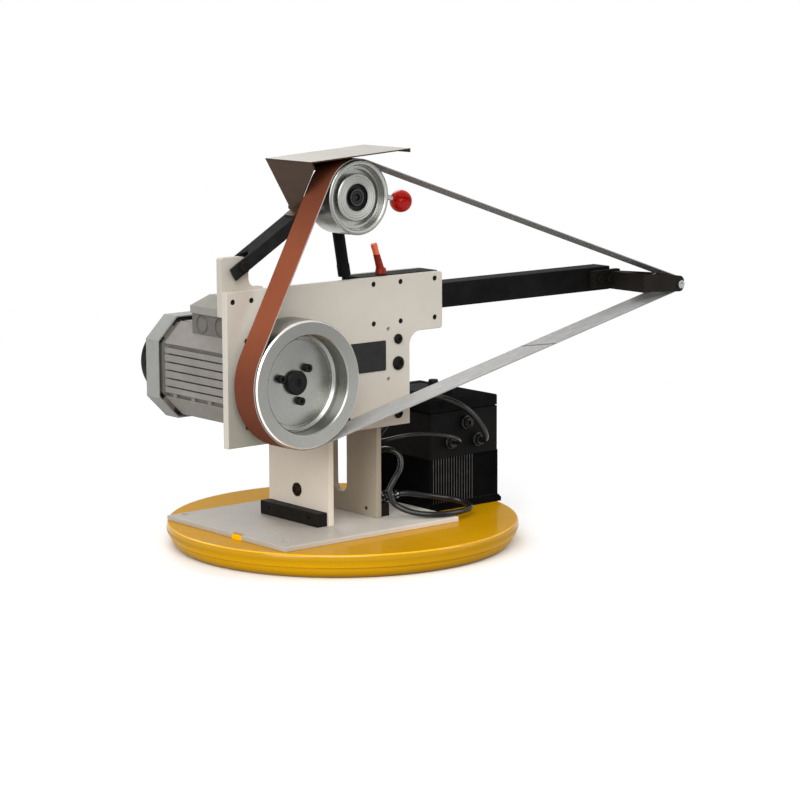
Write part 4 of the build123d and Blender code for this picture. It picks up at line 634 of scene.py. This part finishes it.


# The round base: its height and edge, and its rim's painted shade below and above the step and painted
# highlights at the step and top edge, at shares of the height
base_height = 0.039
rim_edge_radius = 0.0016
rim_step = 0.455
rim_low_shade = 0.66
rim_high_shade = 0.54
rim_painted_light = (
    (0.0, rim_low_shade), (rim_step - 0.035, rim_low_shade), (rim_step, 1.0), (rim_step + 0.045, 0.98),
    (0.58, 0.78), (0.72, rim_high_shade), (0.94, rim_high_shade), (0.975, 1.0),
)


def yellow_gloss():
    """Amber paint under a clear coat: painted darker on the flat top as painted shade, with painted shade
    bands and painted highlights on the rim and along its rounded edges.
    """
    graph = Graph("yellow_gloss")
    rounded, near_edge = graph.soft_edge(rim_edge_radius)
    cloud = graph.noise(5.0, 3.0, 0.5)
    rubs = graph.noise(60.0, 4.0, 0.75, graph.stretched((1.0, 0.25, 1.0)))
    upward = graph.facing("Z")
    rim = graph.colours(cloud, (0.92, 0.462, 0.0007), (0.99, 0.508, 0.0014))
    rise = graph.spread(graph.axis("Z"), 0.0, 1.0, 0.0, base_height)
    # Painted shade bands and painted highlight lines on the rim, by height
    rim = graph.mixed(1.0, rim, graph.greys(rise, rim_painted_light), "MULTIPLY")
    # The flat top is a darker copy of the amber, as painted shade
    top = graph.colours(cloud, (0.55, 0.268, 0.0005), (0.60, 0.300, 0.001))
    colour = graph.mixed(graph.spread(upward, 0.0, 1.0, 0.86, 0.96), rim, top)
    below = graph.spread(upward, 0.12, 0.9, 0.0, 0.2)
    above = graph.spread(upward, 0.9, 0.25, 0.9, 0.98)
    graph.feed(
        graph.shader,
        # Painted highlight along the rounded edges
        Base_Color=graph.mixed(graph.product(near_edge, 0.75), colour, (1.0, 0.62, 0.05)),
        Roughness=graph.spread(rubs, 0.26, 0.42),
        Normal=graph.bump(graph.noise(90.0, 2.0, 0.5), 0.00002, rounded),
        Specular_IOR_Level=0.02,
        Coat_Weight=graph.combine(below, above, "MINIMUM"),
        Coat_Roughness=0.03,
        Coat_IOR=1.5,
        Coat_Normal=rounded,
    )
    return graph.material


# The height below which only the left upright's bolt lies
low_bolt_below = 0.20


def bolt_black():
    """Dark oxide on the plate's bolts, with brown showing on the low one in the left upright."""
    graph = Graph("bolt_oxide")
    rounded, near_edge = graph.soft_edge(edge_radius)
    cloud = graph.noise(120.0, 4.0, 0.65)
    black = graph.colours(cloud, (0.006, 0.005, 0.0045), (0.016, 0.013, 0.011))
    brown = graph.colours(cloud, (0.012, 0.004, 0.001), (0.028, 0.012, 0.005))
    colour = graph.mixed(graph.past(graph.axis("Z"), low_bolt_below, 0.01), brown, black)
    graph.feed(
        graph.shader,
        Base_Color=graph.mixed(graph.product(near_edge, 0.5), colour, (0.09, 0.08, 0.07)),
        Roughness=graph.spread(graph.noise(300.0), 0.3, 0.5),
        Normal=graph.bump(graph.noise(1500.0), 0.00006, rounded),
        Specular_IOR_Level=0.06,
    )
    return graph.material


# Lands between the inverter's slots: first left edge, pitch and span in X, rise in Z, face in Y, width of the
# painted highlight
fin_first = 0.1333
fin_pitch = 0.0056
fin_span = (0.1332, 0.2195)
fin_rise = (0.052, 0.126)
fin_face = -0.070
fin_highlight = 0.0011


def heat_sink():
    """Black casting whose lands between the slots carry a painted grey highlight along one edge."""
    graph = Graph("inverter_base_black")
    rounded, near_edge = graph.soft_edge(edge_radius)
    cloud = graph.noise(20.0, 4.0, 0.65)
    colour = graph.colours(cloud, (0.003, 0.003, 0.003), (0.006, 0.006, 0.006))
    colour = graph.mixed(graph.product(near_edge, 0.5), colour, (0.06, 0.06, 0.06))
    across = graph.combine(graph.combine(graph.axis("X"), fin_first, "SUBTRACT"), fin_pitch, "MODULO")
    zone = graph.product(
        graph.within("X", *fin_span),
        graph.within("Z", *fin_rise),
        graph.short_of(graph.facing("Y"), -0.8, 0.1),
        graph.spread(graph.axis("Y"), 1.0, 0.0, fin_face, fin_face + 0.001),
        graph.short_of(across, fin_highlight, 0.0002),
    )
    # Painted highlight: grey along one edge of each land
    rubbed = graph.colours(graph.noise(70.0), (0.065, 0.065, 0.063), (0.13, 0.13, 0.126))
    graph.feed(
        graph.shader,
        Base_Color=graph.mixed(zone, colour, rubbed),
        Roughness=graph.spread(graph.noise(120.0), 0.45, 0.6),
        Normal=graph.bump(graph.noise(1500.0), 0.00006, rounded),
        Specular_IOR_Level=0.0,
    )
    return graph.material


# The height at which the clamp lever's cap begins
grip_cap = 0.4695


def clamp_orange():
    """Orange moulded grip: a lighter cap above a darker, redder stem."""
    graph = Graph("orange_grip")
    rounded, _ = graph.soft_edge(edge_radius)
    on_cap = graph.past(graph.axis("Z"), grip_cap, 0.0005)
    stem = graph.colours(graph.noise(40.0), (0.22, 0.010, 0.003), (0.31, 0.019, 0.005))
    cap = graph.colours(graph.noise(40.0), (0.93, 0.170, 0.072), (1.0, 0.215, 0.095))
    graph.feed(
        graph.shader,
        Base_Color=graph.mixed(on_cap, stem, cap),
        Roughness=graph.spread(graph.noise(180.0), 0.3, 0.45),
        Normal=graph.bump(graph.noise(700.0), 0.00004, rounded),
        Specular_IOR_Level=0.1,
        Coat_Weight=0.2,
        Coat_Roughness=0.12,
        Coat_IOR=1.35,
    )
    return graph.material


def painted(name, dark, light):
    """Satin paint on steel plate, rubbed paler along its edges."""
    worn = tuple(min(1.0, share * 1.2) for share in light)
    return surface(name, dark, light, (0.38, 0.52), 9.0, 1300.0, 0.00006, worn=worn, Specular_IOR_Level=0.3)


def satin(graph, colour, worn, patchy, rough):
    """Finishes a plate's material as satin paint, rubbed in patches to a paler colour along its edges."""
    rounded, near_edge = graph.soft_edge(edge_radius)
    patches = graph.product(near_edge, graph.spread(graph.noise(80.0), *patchy))
    graph.feed(
        graph.shader,
        Base_Color=graph.mixed(patches, colour, worn),
        Roughness=graph.spread(graph.noise(54.0, 4.0, 0.7), *rough),
        Normal=graph.bump(graph.noise(1300.0, 2.0, 0.5), 0.00006, rounded),
        Specular_IOR_Level=0.3,
    )
    return graph.material


# Where the main plate's painted shadow fades out, as spans in Z and X, and the base plate's painted light,
# along its slant
wheel_shadow_height = (0.24, 0.36)
wheel_shadow_width = (-0.24, -0.16)
light_slant = -0.83
light_span = (-0.15, 0.20)


def main_plate_paint():
    """Satin paint with a painted shadow and a greenish painted reflection, greyer and greener, in the corner
    beside the drive wheel.
    """
    graph = Graph("main_plate_paint")
    cloud = graph.noise(9.0, 4.0, 0.65)
    clean = graph.colours(cloud, (0.52, 0.48, 0.414), (0.565, 0.525, 0.455))
    shadow_tone = graph.colours(cloud, (0.30, 0.292, 0.24), (0.345, 0.336, 0.28))
    low = graph.spread(graph.axis("Z"), 1.0, 0.0, *wheel_shadow_height)
    left = graph.spread(graph.axis("X"), 1.0, 0.0, *wheel_shadow_width)
    front = graph.spread(graph.facing("Y"), 1.0, 0.0, -0.9, -0.6)
    # Painted shadow of the drive wheel on the plate's lower left front
    colour = graph.mixed(graph.product(low, left, front, 0.85), clean, shadow_tone)
    return satin(graph, colour, (0.68, 0.63, 0.55), (0.1, 0.85), (0.38, 0.52))


def base_plate_paint():
    """Satin paint, greyer towards the plate's back left corner and painted paler towards its front right as
    painted light.
    """
    graph = Graph("base_plate_paint")
    cloud = graph.noise(9.0, 4.0, 0.65)
    grey = graph.colours(cloud, (0.385, 0.352, 0.31), (0.423, 0.39, 0.343))
    pale = graph.colours(cloud, (0.60, 0.56, 0.50), (0.66, 0.616, 0.55))
    forward = graph.combine(graph.axis("X"), graph.product(graph.axis("Y"), light_slant))
    # Painted light: paler towards the plate's front right
    colour = graph.mixed(graph.spread(forward, 0.0, 1.0, *light_span), grey, pale)
    return satin(graph, colour, (0.80, 0.76, 0.69), (0.2, 0.85), (0.34, 0.5))


def blackened(name, dark, light, rough, patch, worn, gloss=0.04):
    """A black finish that mirrors little, with greyer edges."""
    return surface(name, (dark,) * 3, (light,) * 3, rough, patch, 1500.0, 0.00006, worn=(worn,) * 3,
                   Specular_IOR_Level=gloss)


def cast(name, dark, light, worn, depth=0.00012, gloss=0.25):
    """Grey paint on the motor's rough castings."""
    return surface(name, dark, light, (0.42, 0.58), 22.0, 620.0, depth, worn=worn, Specular_IOR_Level=gloss)


def make_materials():
    """Gives every node its material, and hands back the rubber for the leads."""
    paint = painted("plate_paint", (0.52, 0.48, 0.414), (0.565, 0.525, 0.455))
    ear_paint = painted("ear_plate_paint", (0.455, 0.42, 0.362), (0.495, 0.46, 0.398))
    # Lit and shaded copies of the plate paint: the left upright lighter as painted light, the right darker as
    # painted shade
    upright_lit_paint = painted("upright_left_lit_paint", (0.69, 0.61, 0.51), (0.74, 0.655, 0.55))
    upright_shaded_paint = painted("upright_right_shaded_paint", (0.31, 0.265, 0.205), (0.35, 0.30, 0.235))
    black = blackened("black_bar", 0.003, 0.008, (0.4, 0.55), 24.0, 0.045)
    arm_black = blackened("tension_arm_black", 0.012, 0.022, (0.45, 0.6), 24.0, 0.07, 0.01)
    foot_black = surface("foot_bar_black", (0.009, 0.0075, 0.006), (0.016, 0.0135, 0.011), (0.42, 0.56),
                         24.0, 1500.0, 0.00006, worn=(0.05, 0.045, 0.04), Specular_IOR_Level=0.06)
    oxide = blackened("black_oxide", 0.005, 0.013, (0.34, 0.5), 90.0, 0.07, 0.1)
    steel = surface("bright_steel", (0.36, 0.36, 0.36), (0.5, 0.5, 0.5), (0.2, 0.36), 60.0, 900.0, 0.00003,
                    (1, 0.06, 1), Metallic=1.0)
    motor = cast("motor_grey", (0.205, 0.190, 0.170), (0.255, 0.240, 0.217), (0.38, 0.365, 0.34), 0.00016)
    cowl = surface("cowl_grey", (0.26, 0.26, 0.245), (0.305, 0.305, 0.288), (0.4, 0.55), 22.0, 700.0, 0.0001,
                   worn=(0.42, 0.42, 0.40), Specular_IOR_Level=0.25)
    box = cast("terminal_box_grey", (0.128, 0.119, 0.106), (0.158, 0.148, 0.133), (0.30, 0.285, 0.26),
               gloss=0.12)
    cover = cast("terminal_lid_grey", (0.245, 0.232, 0.205), (0.29, 0.277, 0.246), (0.36, 0.345, 0.32))
    case = blackened("inverter_case_black", 0.005, 0.010, (0.45, 0.6), 20.0, 0.03)
    lid = blackened("inverter_lid_black", 0.008, 0.014, (0.42, 0.58), 20.0, 0.04, 0.0)
    lamination = surface("lamination", (0.10, 0.10, 0.105), (0.24, 0.24, 0.25), (0.35, 0.55), 40.0, 900.0,
                         0.00008, (0.1, 1.0, 0.1), Metallic=0.8)
    grille = blackened("grille_black", 0.006, 0.014, (0.46, 0.62), 30.0, 0.05, 0.12)
    rubber = blackened("rubber_black", 0.006, 0.014, (0.18, 0.28), 50.0, 0.03, 0.4)
    # The glands' pale edges are partly edge wear, partly painted highlight
    gland = blackened("gland_black", 0.005, 0.012, (0.16, 0.28), 60.0, 0.22, 0.3)
    nameplate = blackened("nameplate_black", 0.008, 0.018, (0.32, 0.46), 50.0, 0.10, 0.2)
    drive = turned_metal("turned_drive", drive_axis, 0.285, 0.17, 0.12, 0.4, glint_radius=drive_glint_radius)
    groups = {
        paint: ["plate_angles", "receiver_back_plate"],
        main_plate_paint(): ["main_plate"],
        ear_paint: ["ear_plate"],
        base_plate_paint(): ["base_plate"],
        upright_lit_paint: ["upright_left"],
        upright_shaded_paint: ["upright_right"],
        black: ["tool_arm", "receiver_top_bar", "receiver_bottom_bar", "strut_cylinder"],
        foot_black: ["foot_bars", "tip_fork"],
        arm_black: ["tension_arm"],
        oxide: ["frame_screws", "hub_screws", "hub_cap", "fork_screws", "strut_stud", "strut_rod",
                "tracking_pin"],
        ringed_black(): ["upper_bearings", "upper_axle"],
        bolt_black(): ["frame_bolts"],
        steel: ["handle_rod", "tip_axle", "tracking_block", "tip_bearings", "motor_bearings"],
        motor: ["motor_front_shield", "motor_body", "motor_rear_shield"],
        box: ["terminal_box"],
        cover: ["terminal_lid"],
        cowl: ["fan_cowl"],
        guard_sheet(): ["roof_guard"],
        heat_sink(): ["inverter_base"],
        case: ["inverter_case", "inverter_keypad"],
        lid: ["inverter_lid"],
        lamination: ["stator", "rotor_core"],
        grille: ["fan_grille", "cooling_fan", "tracking_knob", "speed_knob"],
        gland: ["cable_glands"],
        connector_pins(): ["supply_connector"],
        yellow_gloss(): ["round_base"],
        clamp_orange(): ["clamp_lever"],
        ball_gloss(): ["handle_knob"],
        nameplate: ["nameplate"],
        drive: ["drive_wheel", "drive_hub"],
        turned_metal("turned_upper", upper_axis, 0.34, 0.22, 0.35, 0.6, 0.5): ["upper_wheel"],
        turned_metal("turned_tip", tip_axis, 0.4): ["tip_wheel"],
        turned_metal("turned_shaft", drive_axis, 0.4): ["motor_shaft"],
    }
    for material, names in groups.items():
        for name in names:
            nodes[name].data.materials.clear()
            nodes[name].data.materials.append(material)
    return rubber


def make_leads(rubber):
    """Both leads, each in the place of its plain node."""
    motor = make_lead("motor_cable", motor_route, motor_lead_diameter)
    supply = make_lead("supply_cable", supply_route, supply_lead_diameter)
    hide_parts("motor_lead")
    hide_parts("supply_lead")
    for lead in (motor, supply):
        lead.data.materials.append(rubber)


# The height on the machine's upright axis that the lamps look at
lamp_aim = Vector((0.0, 0.0, 0.3))


def make_light(name, place, size, power):
    """A soft round lamp that looks at the middle of the machine."""
    data = bpy.data.lights.new(name, "AREA")
    data.shape = "DISK"
    data.size = size
    data.energy = power
    lamp = bpy.data.objects.new(name, data)
    scene.collection.objects.link(lamp)
    lamp.location = place
    lamp.rotation_mode = "QUATERNION"
    lamp.rotation_quaternion = (lamp_aim - Vector(place)).to_track_quat("-Z", "Y")


def make_world():
    """A soft studio all round: brightest overhead, grey near the horizon."""
    world = bpy.data.worlds.new("studio")
    scene.world = world
    world.use_nodes = True
    tree = world.node_tree
    place = tree.nodes.new("ShaderNodeTexCoord")
    split = tree.nodes.new("ShaderNodeSeparateXYZ")
    ramp = tree.nodes.new("ShaderNodeValToRGB")
    ends = ramp.color_ramp.elements
    ends[0].position, ends[0].color = 0.0, (0.24, 0.24, 0.245, 1.0)
    ends[1].position, ends[1].color = 0.8, (0.82, 0.82, 0.815, 1.0)
    tree.links.new(place.outputs["Generated"], split.inputs[0])
    tree.links.new(split.outputs["Z"], ramp.inputs["Fac"])
    tree.links.new(ramp.outputs["Color"], tree.nodes["Background"].inputs["Color"])
    tree.nodes["Background"].inputs["Strength"].default_value = 1.0


def make_floor():
    """A pale floor that keeps the object's shadow nearby and runs out into plain white."""
    mesh = bpy.data.meshes.new("floor")
    reach = 90.0
    drop = -0.0005
    corners = [(-reach, -reach, drop), (reach, -reach, drop), (reach, reach, drop), (-reach, reach, drop)]
    mesh.from_pydata(corners, [], [(0, 1, 2, 3)])
    floor = bpy.data.objects.new("floor", mesh)
    scene.collection.objects.link(floor)
    graph = Graph("floor_pale")
    path = graph.add("ShaderNodeLightPath")
    seen = graph.combine(path.outputs["Is Camera Ray"], path.outputs["Is Glossy Ray"], "MAXIMUM")
    seen = graph.combine(seen, path.outputs["Is Transmission Ray"], "MAXIMUM")
    pale = graph.colours(graph.noise(3.0), (0.93, 0.93, 0.93), (0.95, 0.95, 0.95))
    colour = graph.mixed(seen, (0.32, 0.32, 0.32), pale)
    graph.feed(graph.shader, Base_Color=colour, Roughness=0.8, Specular_IOR_Level=0.1)
    white = graph.add("ShaderNodeEmission")
    graph.feed(white, Color=(1.0, 1.0, 1.0), Strength=1.0)
    far = graph.add("ShaderNodeMapRange", interpolation_type="SMOOTHSTEP")
    graph.feed(far, Value=graph.length(graph.place), From_Min=0.5, From_Max=1.6, To_Min=0.0, To_Max=1.0)
    mix = graph.add("ShaderNodeMixShader")
    graph.plug(mix.inputs[0], graph.product(far.outputs["Result"], seen))
    graph.tree.links.new(graph.shader.outputs[0], mix.inputs[1])
    graph.tree.links.new(white.outputs[0], mix.inputs[2])
    graph.tree.links.new(mix.outputs[0], graph.tree.nodes["Material Output"].inputs["Surface"])
    mesh.materials.append(graph.material)


def make_lights():
    """Key light from the photograph's side, with weaker lamps round the rest."""
    make_light("key", (-2.4, -2.6, 2.5), 3.4, 122.0)
    make_light("fill", (2.6, -2.6, 1.6), 2.4, 40.0)
    make_light("side", (-3.2, -0.9, 0.9), 1.8, 36.0)
    make_light("back", (1.2, 2.8, 2.6), 2.0, 40.0)


scene.view_settings.view_transform = "Standard"
make_camera()
make_leads(make_materials())
make_belts()
make_world()
make_floor()
make_lights()
